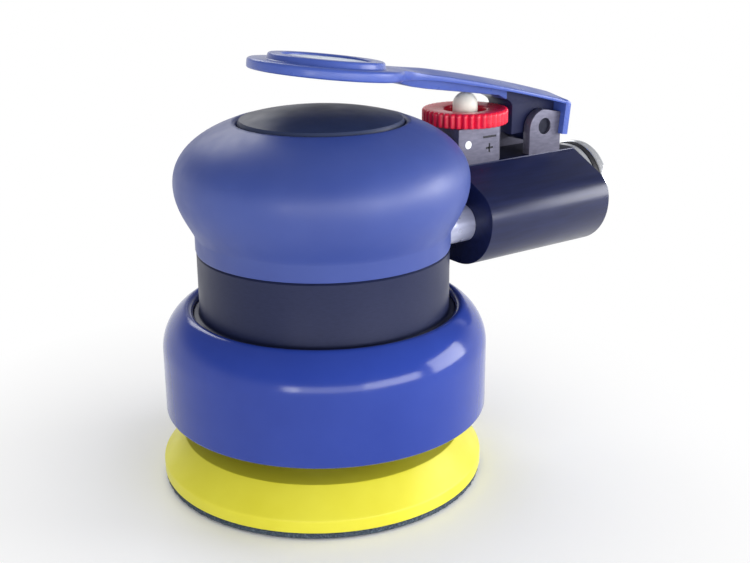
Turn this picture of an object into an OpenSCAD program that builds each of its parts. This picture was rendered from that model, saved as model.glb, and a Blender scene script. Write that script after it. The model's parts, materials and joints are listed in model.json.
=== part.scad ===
// Palm-grip orbital sander, air driven, with a thumb lever over a rear valve handle.
// The motor axis is Z. The origin lies on that axis at the abrasive side of the pad,
// and the handle points along +X.

/* [Pad] */
// Diameter of the backing pad and its hook facing
pad_d = 75; // [72:0.5:78]
// Diameter of the foam where it meets the hub plate
pad_top_d = 65.6; // [58:0.5:68]
// Thickness of the hook facing
hook_t = 1.5; // [1:0.1:2]
// Thickness of the foam
foam_t = 9; // [8:0.5:10]
// Height of the straight rim of the foam
foam_rim_h = 2.9; // [1.5:0.1:4]
// Diameter of the stiff hub plate on top of the foam
hub_d = 44; // [30:1:54]
// Thickness of the hub plate
hub_t = 1.6; // [1.2:0.1:2]
// Diameter of the threaded pad stud
stud_d = 7.9; // [6:0.1:8]
// Length of stud inside the spindle
stud_grip = 7; // [5:0.5:8]

/* [Orbit drive] */
// Diameter of the orbit, twice the offset of the spindle
orbit_d = 2.5; // [1.5:0.25:4]
// Height of the spindle's flange with the wrench flats
flange_h = 4; // [3:0.25:5]
// Diameter of the spindle's flange
flange_d = 17; // [15:0.5:20]
// Width across the wrench flats
flats_w = 14; // [12:0.5:14.5]
// Wall of the cup that holds the spindle bearing
cup_wall = 2.5; // [2:0.25:4]
// Reach of the counterweight from the motor axis
weight_r = 27; // [23:0.5:29]
// Opening angle of the counterweight
weight_angle = 150; // [100:5:170]

/* [Bearings] */
// Bore of the spindle bearing
spindle_brg_bore = 10; // [8:1:12]
// Outer diameter of the spindle bearing
spindle_brg_d = 26; // [24:1:28]
// Width of the spindle bearing
spindle_brg_w = 8; // [7:0.5:9]
// Bore of the lower motor bearing
lower_brg_bore = 12; // [11:1:14]
// Outer diameter of the lower motor bearing
lower_brg_d = 28; // [26:1:30]
// Bore of the upper motor bearing
upper_brg_bore = 10; // [8:1:11]
// Outer diameter of the upper motor bearing
upper_brg_d = 26; // [24:1:28]
// Width of both motor bearings
motor_brg_w = 8; // [7:0.5:8.5]
// Number of balls in each bearing
ball_count = 9; // [7:1:10]

/* [Motor] */
// Length of the air cylinder
cyl_len = 18; // [16:0.5:20]
// Outer diameter of the air cylinder, which is the bore of the housing
cyl_d = 47; // [46:0.25:48]
// Diameter of the eccentric bore of the cylinder
cyl_bore = 41; // [39:0.25:42]
// Diameter of the rotor
rotor_d = 37.6; // [35:0.1:38]
// Number of vanes
vane_count = 5; // [4:1:6]
// Thickness of a vane
vane_t = 2; // [1.5:0.1:2.5]
// Radial height of a vane
vane_h = 7.4; // [6:0.1:8]
// Thickness of the two end plates
plate_t = 4; // [3.5:0.25:5]
// Width and height of the rotor's key
key_w = 2; // [1.5:0.25:2.5]

/* [Housing] */
// Diameter of the bare band between grip and skirt
band_d = 57.4; // [56:0.2:59]
// Diameter of the housing under the grip
neck_d = 52.6; // [51.5:0.2:53.5]
// Height of the step where the grip starts
grip_z = 53.7; // [52:0.25:55]
// Diameter of the flange that carries the skirt
lip_d = 60.4; // [59.6:0.2:62]
// Thickness of that flange
lip_h = 2.9; // [2:0.1:3.5]
// Height of the top of that flange
lip_z = 38.9; // [38:0.1:40]
// Thickness of the threaded lock ring
lock_h = 4.5; // [3:0.25:5]
// Radius of the shoulder at the top of the housing
shoulder_r = 6; // [3:0.5:8]

/* [Skirt] */
// Diameter of the skirt
skirt_d = 74.8; // [73:0.2:77]
// Height of its open lower edge
skirt_z = 16; // [14.5:0.25:17.5]
// Wall of the skirt
skirt_wall = 2.6; // [2:0.1:3.5]
// Radius of its rounded shoulder
skirt_round = 10.8; // [9:0.2:12]

/* [Grip] */
// Diameter of the grip at its waist
waist_d = 57.8; // [57.5:0.1:59]
// Diameter of the grip at its widest
belly_d = 66.1; // [63:0.2:67]
// Height of the widest place
belly_z = 69; // [67:0.25:70]
// Height of the top of the dome
dome_z = 84.8; // [83.5:0.1:85.2]
// Diameter of the inlaid cap
cap_d = 37; // [32:0.5:39]
// Wall of the cap
cap_wall = 2.2; // [1.6:0.1:3]

/* [Valve handle] */
// Distance of the front of the valve body from the motor axis
body_x = 33.5; // [33.5:0.25:36]
// Length of the valve body
body_len = 38.5; // [36.5:0.5:40]
// Radius of its two side lobes
lobe_r = 12; // [11:0.1:12.5]
// Distance of each lobe from the middle plane
lobe_y = 7.8; // [7:0.1:9]
// Height of the lobes and of the air inlet
lobe_z = 57; // [56.5:0.1:57.5]
// Width of the spine along the top
spine_w = 14.2; // [13.8:0.1:15]
// Height of the spine
spine_z = 68.4; // [68:0.1:69]
// Diameter of the two air tubes to the housing
tube_d = 8.8; // [7.5:0.1:9]
// Distance of each air tube from the middle plane
tube_y = 9.5; // [9:0.1:10.5]
// Height of the air tubes
tube_z = 55.5; // [55:0.1:56]
// Wall of the air tubes
tube_wall = 1.2; // [0.8:0.1:1.8]
// Diameter of the inlet bushing's collar
bushing_d = 22; // [20:0.2:23]
// Length of the bushing outside the valve body
bushing_len = 9.5; // [8:0.5:11]
// Thread diameter of the hose connection
hose_thread_d = 11.4; // [10.5:0.1:12]

/* [Regulator and valve] */
// Distance of the valve stem from the motor axis
stem_x = 41.4; // [41.2:0.1:42]
// Diameter of the valve stem and its ball end
stem_d = 6; // [5:0.1:6.4]
// Height of the top of the ball end
stem_top = 84.5; // [84.2:0.05:84.7]
// Diameter of the vertical valve bore
valve_bore = 12; // [11:0.1:12.4]
// Diameter of the collar under the regulator ring
collar_d = 17.2; // [16.4:0.2:18.4]
// Height of the top of that collar
collar_z = 77.1; // [76.5:0.1:77.2]
// Diameter of the knurled regulator ring
ring_d = 20.8; // [20:0.1:21]
// Height of the knurled rim
ring_h = 3.5; // [3:0.1:3.6]
// Number of flutes round the ring
flute_count = 40; // [24:2:48]
// Wire of the valve spring
wire_d = 0.8; // [0.6:0.05:1]

/* [Lever] */
// Distance of the paddle's centre from the motor axis
paddle_x = 1.5; // [0:0.25:3]
// Diameter of the round paddle
paddle_d = 34.5; // [32:0.5:37]
// Thickness of the lever's plate
lever_t = 2.3; // [1.8:0.1:2.5]
// Width of the arm at its neck
neck_w = 13.4; // [11:0.2:15]
// Width of the arm at the pivot
heel_w = 17.4; // [16.6:0.2:19]
// Length of the arm behind the pivot
heel_len = 8.5; // [8:0.1:9.5]
// Distance of the pivot from the motor axis
pivot_x = 61.2; // [60.6:0.1:61.6]
// Height of the pivot
pivot_z = 75; // [74.8:0.05:75.2]
// Diameter of the pivot pin
pin_d = 4; // [3:0.1:4.2]
// Thickness of each ear that holds the pin
ear_t = 2.4; // [2:0.1:2.8]
// Height of the ears above the pivot
ear_rise = 4.2; // [3.8:0.1:4.4]
// Length of the ears along the handle
ear_len = 10.5; // [9:0.25:10.5]

/* [Hidden] */

$fn = 72;
eps = 0.01;         // how far a cut runs past a face
run_gap = 0.05;     // radial clearance of a running fit
free_gap = 0.5;     // clearance between pieces that never touch
ball_gap = 0.01;    // clearance of a ball in its track

// Pad stack
foam_z = hook_t;
hub_z = foam_z + foam_t;
flange_z = hub_z + hub_t;
ecc = orbit_d / 2;
stud_head_t = 1.5;
stud_head_d = stud_d + 5;

// Spindle and balancer stack
race_step = 1.3;                       // height of the spindle's bearing shoulder
spindle_brg_z = flange_z + flange_h + race_step;
spindle_brg_top = spindle_brg_z + spindle_brg_w;
clip_t = 0.8;
clip_bite = 0.6;
cup_r = spindle_brg_d / 2 + cup_wall;
cup_z = spindle_brg_z - clip_t - 0.6;
screw_head_h = 1.3;
relief_h = screw_head_h + 0.3;
cup_top = spindle_brg_top + relief_h + 0.4;
race_share = 0.27;                     // radial share of each race in a bearing

// Motor stack
cyl_z = 40;
cyl_top = cyl_z + cyl_len;
lower_plate_z = cyl_z - plate_t;
seal_t = 1;                            // plate left over each motor bearing
lower_brg_z = cyl_z - seal_t - motor_brg_w;
upper_brg_z = cyl_top + seal_t;
upper_plate_top = cyl_top + plate_t;
boss_wall = 2.4;
lower_boss_r = lower_brg_d / 2 + boss_wall;
upper_boss_r = upper_brg_d / 2 + boss_wall;
boss_over = 0.5;
lower_boss_z = lower_brg_z - boss_over;
upper_boss_top = upper_brg_z + motor_brg_w + boss_over;
shaft_r = upper_brg_bore / 2;
shaft_top = upper_brg_z + motor_brg_w + clip_t + 0.7;
rotor_gap = 0.05;
bore_ecc = (cyl_bore - rotor_d) / 2 - rotor_gap;
lock_z = lower_plate_z - lock_h;
pin_r = 1.25;
align_x = -(cyl_d / 2 + cyl_bore / 2 - bore_ecc) / 2;

// Housing, grip and skirt
housing_z = 30;
housing_top = max(upper_boss_top, shaft_top) + 4;
skirt_hold = 3;                        // height of the skirt's collar under the flange
skirt_bore_z = lip_z - lip_h - skirt_hold;
crown_r = 1.4;
crown_over = 0.05;                     // height of the crown's middle over the flange
cap_fit = 0.1;
belly_rise = dome_z - belly_z;
waist_z = grip_z + 3.8;
dome_power = 2.2;
flare_power = 1.3;
profile_steps = 14;

// Valve handle
body_end = body_x + body_len;
flank_top = spine_z - 1.1;
flank_tilt = 27;                       // fall of the flank outwards from the spine
turn_r = 7;                            // radius of the turn from lobe to flank
// Middle of that turn, measured from the middle of its lobe: off the flank and along it
turn_off = (flank_top - lobe_z) * cos(flank_tilt) - (lobe_y - spine_w / 2) * sin(flank_tilt)
    - turn_r;
turn_on = sqrt(pow(lobe_r - turn_r, 2) - pow(turn_off, 2));
turn_y = turn_off * sin(flank_tilt) + turn_on * cos(flank_tilt);
turn_z = turn_off * cos(flank_tilt) - turn_on * sin(flank_tilt);
tube_seat = 3;                         // depth of each tube in the valve body
tube_x = cyl_d / 2 + 0.3;
bushing_thread_d = 16;
bushing_seat = 13;                     // depth of the bushing in the valve body
hose_thread_len = 13;
screen_t = 0.6;
air_d = 8;
seat_z = 59.5;
seat_h = 2;
valve_floor = 50;
sleeve_z = seat_z + seat_h + 0.2;
sleeve_d = valve_bore - 2 * run_gap;
cross_z = 64;
cross_d = 3.4;
silencer_y = lobe_y + 6.8;
silencer_d = 6.4;
silencer_len = 6;

// Regulator and valve
collar_x = belly_d / 2 + 0.6;          // front face of the collar, clear of the grip
dot_z = (spine_z + collar_z) / 2 + 0.5;
dot_x = stem_x - 4.8;
ring_z = collar_z + 0.1;
ring_hole = stem_d + 4.4;
ring_top = ring_z + ring_h;
dot_d = 1.9;
stem_fit = stem_d + 2 * run_gap;
stem_low = 70;
rod_d = 2.8;
plug_d = 8.4;
plug_h = 2;
spring_gap = 0.05;
stem_travel = 1.65;
spring_turns = 4;
spring_d = 7;

// Lever
contact_gap = 0.1;
kink_x = 28;
kink_z = 91.25;
paddle_slope = 0.122;
arm_slope = 0.175;
arm_curve = 0.0013;
rib_slope = 0.163;
rib_w = spine_w - 2 * ear_t - 0.6;
ear_x = pivot_x - ear_len / 2 + 0.35;
ear_end = ear_x + ear_len;
ear_drop = 1.2;                        // fall of the ears' top towards the heel
lip_x = ear_end + 0.4;                 // inner face of the lip behind the ears
heel_x = pivot_x + heel_len;
lip_low = pivot_z - 2.6;
lip_t = 3;
pin_fit = pin_d + 2 * run_gap;
paddle_tilt = atan(paddle_slope);
neck_len = 10;                         // length over which the paddle narrows to the arm
neck_start = paddle_x + 0.36 * paddle_d;
neck_x = neck_start + neck_len;
neck_flare = sqrt(pow(paddle_d / 2, 2) - pow(neck_start - paddle_x, 2)) - 0.3 - neck_w / 2;
arm_taper = 32;                        // length over which the arm widens to the heel
crown_tilt = 13;                       // slope of the arm's top towards its edges
crown_half = 2;                        // half width of the flat along the arm's middle
crown_fade = 12;                       // length over which the crown starts
crown_rise = 0.13;                     // slope with which it starts
web_notch = 1.2;                       // chamfer of the web's front corner
web_root = 4.4;                        // length of its slope up to the rib
badge_d = 0.62 * paddle_d;
badge_t = 0.9;
step_d = 0.82 * paddle_d;
step_h = 1.4;
web_x = stem_x + ring_d / 2 + 0.9;
web_r = pin_d / 2 + 2.4;

// Height of the lever's top at a distance from the motor axis
function lever_top(x) = x < kink_x
    ? kink_z + paddle_slope * (kink_x - x)
    : kink_z - arm_slope * (x - kink_x) - arm_curve * pow(x - kink_x, 2);

// Height of the rib's underside, which presses the stem
function rib_low(x) = stem_top + contact_gap + rib_slope * (stem_x - x);

// Half width of the lever's arm, with a flared root at the paddle
function arm_half(x) = x < neck_x
    ? neck_w / 2 + neck_flare * pow((neck_x - x) / neck_len, 2)
    : neck_w / 2 + (heel_w - neck_w) / 4 * (1 - cos(180 * min(1, (x - neck_x) / arm_taper)));

// Radius of the grip's outline at a height
function grip_r(z) = z < waist_z
    ? waist_d / 2
    : z < belly_z
    ? waist_d / 2 + (belly_d - waist_d) / 2
        * pow(1 - pow((belly_z - z) / (belly_z - waist_z), 2), flare_power)
    : belly_d / 2 * pow(1 - pow((z - belly_z) / belly_rise, dome_power), 1 / dome_power);

// Height of the dome at a radius
function dome_at(r) = belly_z
    + belly_rise * pow(1 - pow(r / (belly_d / 2), dome_power), 1 / dome_power);

// Points of an arc from one angle to another
function arc(cx, cy, r, a0, a1, n) =
    [for (i = [0:n]) [cx + r * cos(a0 + (a1 - a0) * i / n), cy + r * sin(a0 + (a1 - a0) * i / n)]];

// ---------- shared shapes ----------

// Ring about Z from one height to another
module ring(r_in, r_out, z0, z1) {
    difference() {
        translate([0, 0, z0])
            cylinder(r = r_out, h = z1 - z0);
        translate([0, 0, z0 - eps])
            cylinder(r = r_in, h = z1 - z0 + 2 * eps);
    }
}

// Round bar about Z from one height to another
module bar(r, z0, z1) {
    translate([0, 0, z0])
        cylinder(r = r, h = z1 - z0);
}

// Round bar along X
module bar_x(r, x0, x1, y, z) {
    translate([x0, y, z])
        rotate([0, 90, 0])
            cylinder(r = r, h = x1 - x0);
}

// Round bar along Y
module bar_y(r, y0, y1, x, z) {
    translate([x, y1, z])
        rotate([90, 0, 0])
            cylinder(r = r, h = y1 - y0);
}

// Track that the balls of a bearing run in
module ball_track(bore, od, w, z) {
    pitch = (bore + od) / 4;
    ball = (od - bore) / 4 * 0.6;
    translate([0, 0, z + w / 2])
        rotate_extrude()
            translate([pitch, 0])
                circle(r = ball + ball_gap, $fn = 32);
}

module inner_race(bore, od, w, z) {
    difference() {
        ring(bore / 2, bore / 2 + race_share * (od - bore) / 2, z, z + w);
        ball_track(bore, od, w, z);
    }
}

module outer_race(bore, od, w, z) {
    difference() {
        ring(od / 2 - race_share * (od - bore) / 2, od / 2, z, z + w);
        ball_track(bore, od, w, z);
    }
}

module balls(bore, od, w, z) {
    for (i = [0:ball_count - 1])
        rotate([0, 0, 360 * i / ball_count])
            translate([(bore + od) / 4, 0, z + w / 2])
                sphere(r = (od - bore) / 4 * 0.6, $fn = 24);
}

// Open retaining ring with two eyes
module circlip(r_in, r_out, z, outward) {
    eye = outward ? r_out : r_in;
    difference() {
        union() {
            ring(r_in, r_out, z, z + clip_t);
            for (a = [-14, 14])
                rotate([0, 0, a])
                    translate([eye, 0, 0])
                        bar(1.3, z, z + clip_t);
        }
        translate([0, -1, z - eps])
            cube([r_out + 3, 2, clip_t + 2 * eps]);
        for (a = [-14, 14])
            rotate([0, 0, a])
                translate([eye, 0, 0])
                    bar(0.6, z - eps, z + clip_t + eps);
    }
}

// ---------- pad and spindle, on the offset axis ----------

module at_spindle() {
    translate([-ecc, 0, 0])
        children();
}

module hook_facing() {
    color("dimgray")
        at_spindle()
            bar(pad_d / 2 - 0.4, 0, hook_t);
}

module pad_foam() {
    outline = [
        [0, foam_z],
        [pad_d / 2, foam_z],
        [pad_d / 2, foam_z + foam_rim_h],
        [pad_d / 2 - 0.4, foam_z + foam_rim_h + 0.6],
        [pad_top_d / 2, hub_z],
        [0, hub_z]];
    color("gold")
        at_spindle()
            difference() {
                rotate_extrude($fn = 120)
                    polygon(outline);
                bar(stud_head_d / 2, hub_z - stud_head_t, hub_z + eps);
            }
}

module pad_hub() {
    color("darkslategray")
        at_spindle()
            ring(stud_d / 2, hub_d / 2, hub_z, flange_z);
}

module pad_stud() {
    color("silver")
        at_spindle() {
            bar(stud_head_d / 2, hub_z - stud_head_t, hub_z);
            bar(stud_d / 2, hub_z - eps, flange_z + stud_grip);
        }
}

module spindle() {
    screw_hole_z = flange_z + stud_grip + 1;
    color("lightsteelblue")
        at_spindle()
            difference() {
                union() {
                    intersection() {
                        bar(flange_d / 2, flange_z, flange_z + flange_h);
                        translate([-flange_d, -flats_w / 2, flange_z])
                            cube([2 * flange_d, flats_w, flange_h]);
                    }
                    bar(spindle_brg_bore / 2 + 1.5, flange_z + flange_h - eps, spindle_brg_z);
                    bar(spindle_brg_bore / 2, spindle_brg_z - eps, spindle_brg_top);
                }
                bar(stud_d / 2, flange_z - eps, flange_z + stud_grip + 0.5);
                bar(1.6, screw_hole_z, spindle_brg_top + eps);
            }
}

module spindle_screw() {
    color("gray")
        at_spindle()
            difference() {
                union() {
                    bar(spindle_brg_bore / 2 + 1, spindle_brg_top, spindle_brg_top + screw_head_h);
                    bar(1.6, flange_z + stud_grip + 1.5, spindle_brg_top + eps);
                }
                translate([0, 0, spindle_brg_top + 0.4])
                    cylinder(r = 1.6, h = screw_head_h, $fn = 6);
            }
}

module spindle_inner_race() {
    color("gainsboro")
        at_spindle()
            inner_race(spindle_brg_bore, spindle_brg_d, spindle_brg_w, spindle_brg_z);
}

module spindle_outer_race() {
    color("gainsboro")
        at_spindle()
            outer_race(spindle_brg_bore, spindle_brg_d, spindle_brg_w, spindle_brg_z);
}

module spindle_balls() {
    color("white")
        at_spindle()
            balls(spindle_brg_bore, spindle_brg_d, spindle_brg_w, spindle_brg_z);
}

module spindle_circlip() {
    color("dimgray")
        at_spindle()
            circlip(spindle_brg_d / 2 - 1.6, spindle_brg_d / 2 + clip_bite,
                spindle_brg_z - clip_t, false);
}

// ---------- rotating parts on the motor axis ----------

// Crankshaft with the offset bearing cup and the counterweight
module balancer() {
    reach = 2 * weight_r;
    half = weight_angle / 2;
    color("slategray")
        difference() {
            union() {
                at_spindle()
                    bar(cup_r, cup_z, cup_top);
                intersection() {
                    bar(weight_r, cup_z + 1, cup_top - 1);
                    translate([0, 0, cup_z])
                        linear_extrude(cup_top - cup_z)
                            polygon([[0, 0], [reach * cos(half), -reach * sin(half)],
                                [reach, -reach * sin(half)], [reach, reach * sin(half)],
                                [reach * cos(half), reach * sin(half)]]);
                }
                bar(lower_brg_bore / 2 + 2.5, cup_top - eps, lower_brg_z);
                bar(lower_brg_bore / 2, lower_brg_z - eps, cyl_z);
                bar(shaft_r, cyl_z - eps, shaft_top);
            }
            at_spindle() {
                bar(spindle_brg_d / 2, cup_z - eps, spindle_brg_top);
                bar(spindle_brg_bore / 2 + 2, spindle_brg_top - eps, spindle_brg_top + relief_h);
                bar(spindle_brg_d / 2 + clip_bite, spindle_brg_z - clip_t, spindle_brg_z);
            }
            ring(shaft_r - clip_bite, shaft_r + 1, upper_brg_z + motor_brg_w,
                upper_brg_z + motor_brg_w + clip_t);
            translate([shaft_r - key_w / 2, -key_w / 2, cyl_z + 2])
                cube([key_w, key_w, cyl_len - 4]);
        }
}

module rotor_key() {
    color("dimgray")
        translate([shaft_r - key_w / 2, -key_w / 2, cyl_z + 2])
            cube([key_w, key_w, cyl_len - 4]);
}

// Radial slots for the vanes, halfway between the key and the next slot
module at_vanes() {
    for (i = [0:vane_count - 1])
        rotate([0, 0, 360 * (i + 0.5) / vane_count])
            children();
}

module rotor() {
    slot_r = rotor_d / 2 - vane_h - 0.4;
    color("lightslategray")
        difference() {
            ring(shaft_r, rotor_d / 2, cyl_z + rotor_gap, cyl_top - rotor_gap);
            at_vanes()
                translate([slot_r, -vane_t / 2, cyl_z])
                    cube([vane_h + 2, vane_t, cyl_len]);
            translate([0, -key_w / 2, cyl_z])
                cube([shaft_r + key_w / 2, key_w, cyl_len]);
        }
}

module vanes() {
    color("saddlebrown")
        at_vanes()
            translate([rotor_d / 2 - vane_h - 0.2, -vane_t / 2, cyl_z + 2 * rotor_gap])
                cube([vane_h, vane_t, cyl_len - 4 * rotor_gap]);
}

module lower_inner_race() {
    color("gainsboro")
        inner_race(lower_brg_bore, lower_brg_d, motor_brg_w, lower_brg_z);
}

module upper_inner_race() {
    color("gainsboro")
        inner_race(upper_brg_bore, upper_brg_d, motor_brg_w, upper_brg_z);
}

module shaft_circlip() {
    color("dimgray")
        circlip(shaft_r - clip_bite, shaft_r + 1.4, upper_brg_z + motor_brg_w, true);
}

// ---------- fixed motor parts ----------

module lower_outer_race() {
    color("gainsboro")
        outer_race(lower_brg_bore, lower_brg_d, motor_brg_w, lower_brg_z);
}

module upper_outer_race() {
    color("gainsboro")
        outer_race(upper_brg_bore, upper_brg_d, motor_brg_w, upper_brg_z);
}

module lower_balls() {
    color("white")
        balls(lower_brg_bore, lower_brg_d, motor_brg_w, lower_brg_z);
}

module upper_balls() {
    color("white")
        balls(upper_brg_bore, upper_brg_d, motor_brg_w, upper_brg_z);
}

module lower_end_plate() {
    color("darkgray")
        difference() {
            union() {
                bar(cyl_d / 2, lower_plate_z, cyl_z);
                bar(lower_boss_r, lower_boss_z, lower_plate_z + eps);
            }
            bar(lower_brg_d / 2, lower_boss_z - eps, lower_brg_z + motor_brg_w);
            bar(lower_brg_bore / 2 + 1, lower_brg_z, cyl_z + eps);
        }
}

module upper_end_plate() {
    color("darkgray")
        difference() {
            union() {
                bar(cyl_d / 2, cyl_top, upper_plate_top);
                bar(upper_boss_r, upper_plate_top - eps, upper_boss_top);
            }
            bar(upper_brg_d / 2, upper_brg_z, upper_boss_top + eps);
            bar(shaft_r + 2, cyl_top - eps, upper_brg_z + eps);
            translate([align_x, 0, 0])
                bar(pin_r, cyl_top - eps, cyl_top + 3);
        }
}

// Liner with its eccentric bore and a row of ports behind each air tube
module cylinder_liner() {
    port_count = 4;
    port_step = (cyl_len - 6) / (port_count - 1);
    color("silver")
        difference() {
            bar(cyl_d / 2, cyl_z, cyl_top);
            translate([bore_ecc, 0, 0])
                bar(cyl_bore / 2, cyl_z - eps, cyl_top + eps);
            for (side = [-1, 1]) {
                for (i = [0:port_count - 1])
                    bar_x(1.2, cyl_bore / 4, cyl_d, side * tube_y, cyl_z + 3 + i * port_step);
                translate([sqrt(pow(cyl_d / 2, 2) - pow(tube_y, 2)) - 1.2,
                    side * tube_y - 2, cyl_z + 2])
                    cube([cyl_d / 2, 4, cyl_len - 4]);
            }
            translate([align_x, 0, 0])
                bar(pin_r, cyl_top - 6, cyl_top + eps);
        }
}

module alignment_pin() {
    color("gray")
        translate([align_x, 0, 0])
            bar(pin_r, cyl_top - 6, cyl_top + 3);
}

module lock_ring() {
    color("dimgray")
        difference() {
            ring(lower_boss_r + 0.3, cyl_d / 2, lock_z, lower_plate_z);
            for (a = [0:90:270])
                rotate([0, 0, a])
                    translate([(lower_boss_r + cyl_d / 2) / 2, 0, 0])
                        bar(1.2, lock_z - eps, lock_z + 2.5);
        }
}

// ---------- shells ----------

// Outline of the housing from its open lower end to the shoulder under the cap
module housing_outline() {
    polygon(concat(
        [[0, housing_z], [band_d / 2 - 0.6, housing_z], [band_d / 2, housing_z + 0.6],
            [band_d / 2, lip_z - lip_h], [lip_d / 2, lip_z - lip_h], [lip_d / 2, lip_z],
            [band_d / 2, lip_z], [band_d / 2, grip_z], [neck_d / 2, grip_z]],
        arc(neck_d / 2 - shoulder_r, housing_top - shoulder_r, shoulder_r, 0, 90, 8),
        [[0, housing_top]]));
}

module at_tubes() {
    for (side = [-1, 1])
        translate([0, side * tube_y, 0])
            children();
}

module motor_housing() {
    color([0.13, 0.14, 0.24])
        difference() {
            rotate_extrude($fn = 120)
                housing_outline();
            bar(cyl_d / 2, housing_z - eps, upper_plate_top);
            bar(upper_boss_r + free_gap, upper_plate_top - eps, housing_top - 3);
            at_tubes()
                bar_x(tube_d / 2, 0.3 * cyl_d, band_d, 0, tube_z);
        }
}

// Moulded skirt: rolled crown, side wall and a collar that snaps under the flange
module skirt() {
    inner = skirt_d / 2 - skirt_wall;
    inner_round = skirt_round - skirt_wall;
    side_x = skirt_d / 2 - skirt_round;
    crown_x = lip_d / 2 + crown_r;
    crown_z = lip_z + crown_over;
    reach = skirt_round - crown_r;
    lean = acos((crown_x - side_x) / reach);
    color("royalblue")
        rotate_extrude($fn = 120)
            polygon(concat(
                [[inner, skirt_z + 0.4], [inner + 0.4, skirt_z], [skirt_d / 2 - 0.8, skirt_z],
                    [skirt_d / 2, skirt_z + 0.8]],
                arc(side_x, crown_z - reach * sin(lean), skirt_round, 0, lean, 16),
                [for (p = arc(crown_x, crown_z, crown_r, lean, 180, 8)) if (p[0] < crown_x + reach) p],
                [[lip_d / 2, lip_z - lip_h], [band_d / 2, lip_z - lip_h],
                    [band_d / 2, skirt_bore_z]],
                arc(inner - inner_round, skirt_bore_z - inner_round + eps, inner_round, 60, 0, 8)));
}

// Soft grip with its flared belly and the pocket for the cap
module grip() {
    hole_r = cap_d / 2 + cap_fit;
    belly_arc = [for (i = [0:profile_steps])
        let (z = waist_z + (belly_z - waist_z) * i / profile_steps) [grip_r(z), z]];
    dome_arc = [for (i = [1:profile_steps])
        let (a = 90 * i / profile_steps,
            r = hole_r + 0.8 + (belly_d / 2 - hole_r - 0.8) * cos(a))
            [r, dome_at(r)]];
    color("slateblue")
        difference() {
            rotate_extrude($fn = 120)
                difference() {
                    polygon(concat(
                        [[hole_r, grip_z], [waist_d / 2 - 0.5, grip_z], [waist_d / 2, grip_z + 0.5]],
                        belly_arc, dome_arc,
                        [[hole_r, dome_at(hole_r) - 0.9]]));
                    housing_outline();
                }
            at_tubes()
                bar_x(tube_d / 2 + 0.15, cyl_d / 4, belly_d, 0, tube_z);
        }
}

// Hollow cap that stands on the housing and closes the grip
module cap() {
    rim_z = dome_at(cap_d / 2) - 0.3;
    inner = cap_d / 2 - cap_wall;
    top = [for (i = [0:profile_steps])
        let (r = (cap_d / 2 - 0.4) * (1 - i / profile_steps)) [r, dome_at(r)]];
    under = [for (i = [profile_steps:-1:0])
        let (r = inner * (1 - i / profile_steps)) [r, dome_at(r) - cap_wall]];
    color("midnightblue")
        rotate_extrude($fn = 120)
            polygon(concat(
                [[inner, housing_top], [cap_d / 2, housing_top], [cap_d / 2, rim_z]],
                top, under));
}

// ---------- air tubes and valve body ----------

module air_tube(side) {
    difference() {
        bar_x(tube_d / 2, tube_x, body_x + tube_seat, side * tube_y, tube_z);
        bar_x(tube_d / 2 - tube_wall, tube_x - eps, body_x + tube_seat + eps,
            side * tube_y, tube_z);
    }
}

module inlet_tube() {
    color("dimgray")
        air_tube(1);
}

module exhaust_tube() {
    color("dimgray")
        air_tube(-1);
}

// Section across the handle: two lobes, sloping flanks and a flat spine
module body_section() {
    side = concat(
        arc(lobe_y, lobe_z, lobe_r, -90, atan2(turn_z, turn_y), 18),
        arc(lobe_y + turn_y, lobe_z + turn_z, turn_r, atan2(turn_z, turn_y), 90 - flank_tilt, 12),
        [[spine_w / 2, flank_top], [spine_w / 2, spine_z]]);
    polygon(concat(side, [for (i = [len(side) - 1:-1:0]) [-side[i][0], side[i][1]]]));
}

// Two ears for the lever's pin, with a round front corner over the hole
module ears() {
    round_r = ear_rise + 0.6;
    for (side = [-1, 1])
        translate([0, side > 0 ? spine_w / 2 : -spine_w / 2 + ear_t, 0])
            rotate([90, 0, 0])
                linear_extrude(ear_t)
                    polygon(concat(
                        [[ear_x, spine_z - 1]],
                        [[ear_end, spine_z - 1], [ear_end, pivot_z + ear_rise - ear_drop]],
                        arc(ear_x + round_r, pivot_z + ear_rise - round_r, round_r, 90, 180, 8)));
}

module valve_body() {
    color([0.1, 0.1, 0.16])
        difference() {
            union() {
                translate([body_x, 0, 0])
                    rotate([90, 0, 90])
                        linear_extrude(body_len)
                            body_section();
                ears();
            }
            // Vertical valve bore
            translate([stem_x, 0, 0])
                bar(valve_bore / 2, valve_floor, spine_z + eps);
            // Inlet passage and the seat of the bushing
            bar_x(air_d / 2, stem_x, body_end, 0, lobe_z - 1.5);
            bar_x(bushing_thread_d / 2, body_end - bushing_seat, body_end + eps, 0, lobe_z);
            // Cross passages from the valve to the inlet tube
            bar_y(cross_d / 2, 0, tube_y, stem_x, cross_z);
            translate([stem_x, tube_y, 0])
                bar(cross_d / 2, tube_z, cross_z);
            bar_x(tube_d / 2 - tube_wall, body_x, stem_x + 1, tube_y, tube_z);
            // Exhaust chamber and the pocket of the silencer
            bar_x(tube_d / 2 - tube_wall, body_x, body_end - silencer_len - 2, -tube_y - 1, tube_z);
            bar_x(silencer_d / 2, body_end - silencer_len - 6, body_end + eps,
                -silencer_y, lobe_z);
            at_tubes()
                bar_x(tube_d / 2, body_x - eps, body_x + tube_seat, 0, tube_z);
            // Hole through both ears
            bar_y(pin_d / 2, -spine_w, spine_w, pivot_x, pivot_z);
        }
}

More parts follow.
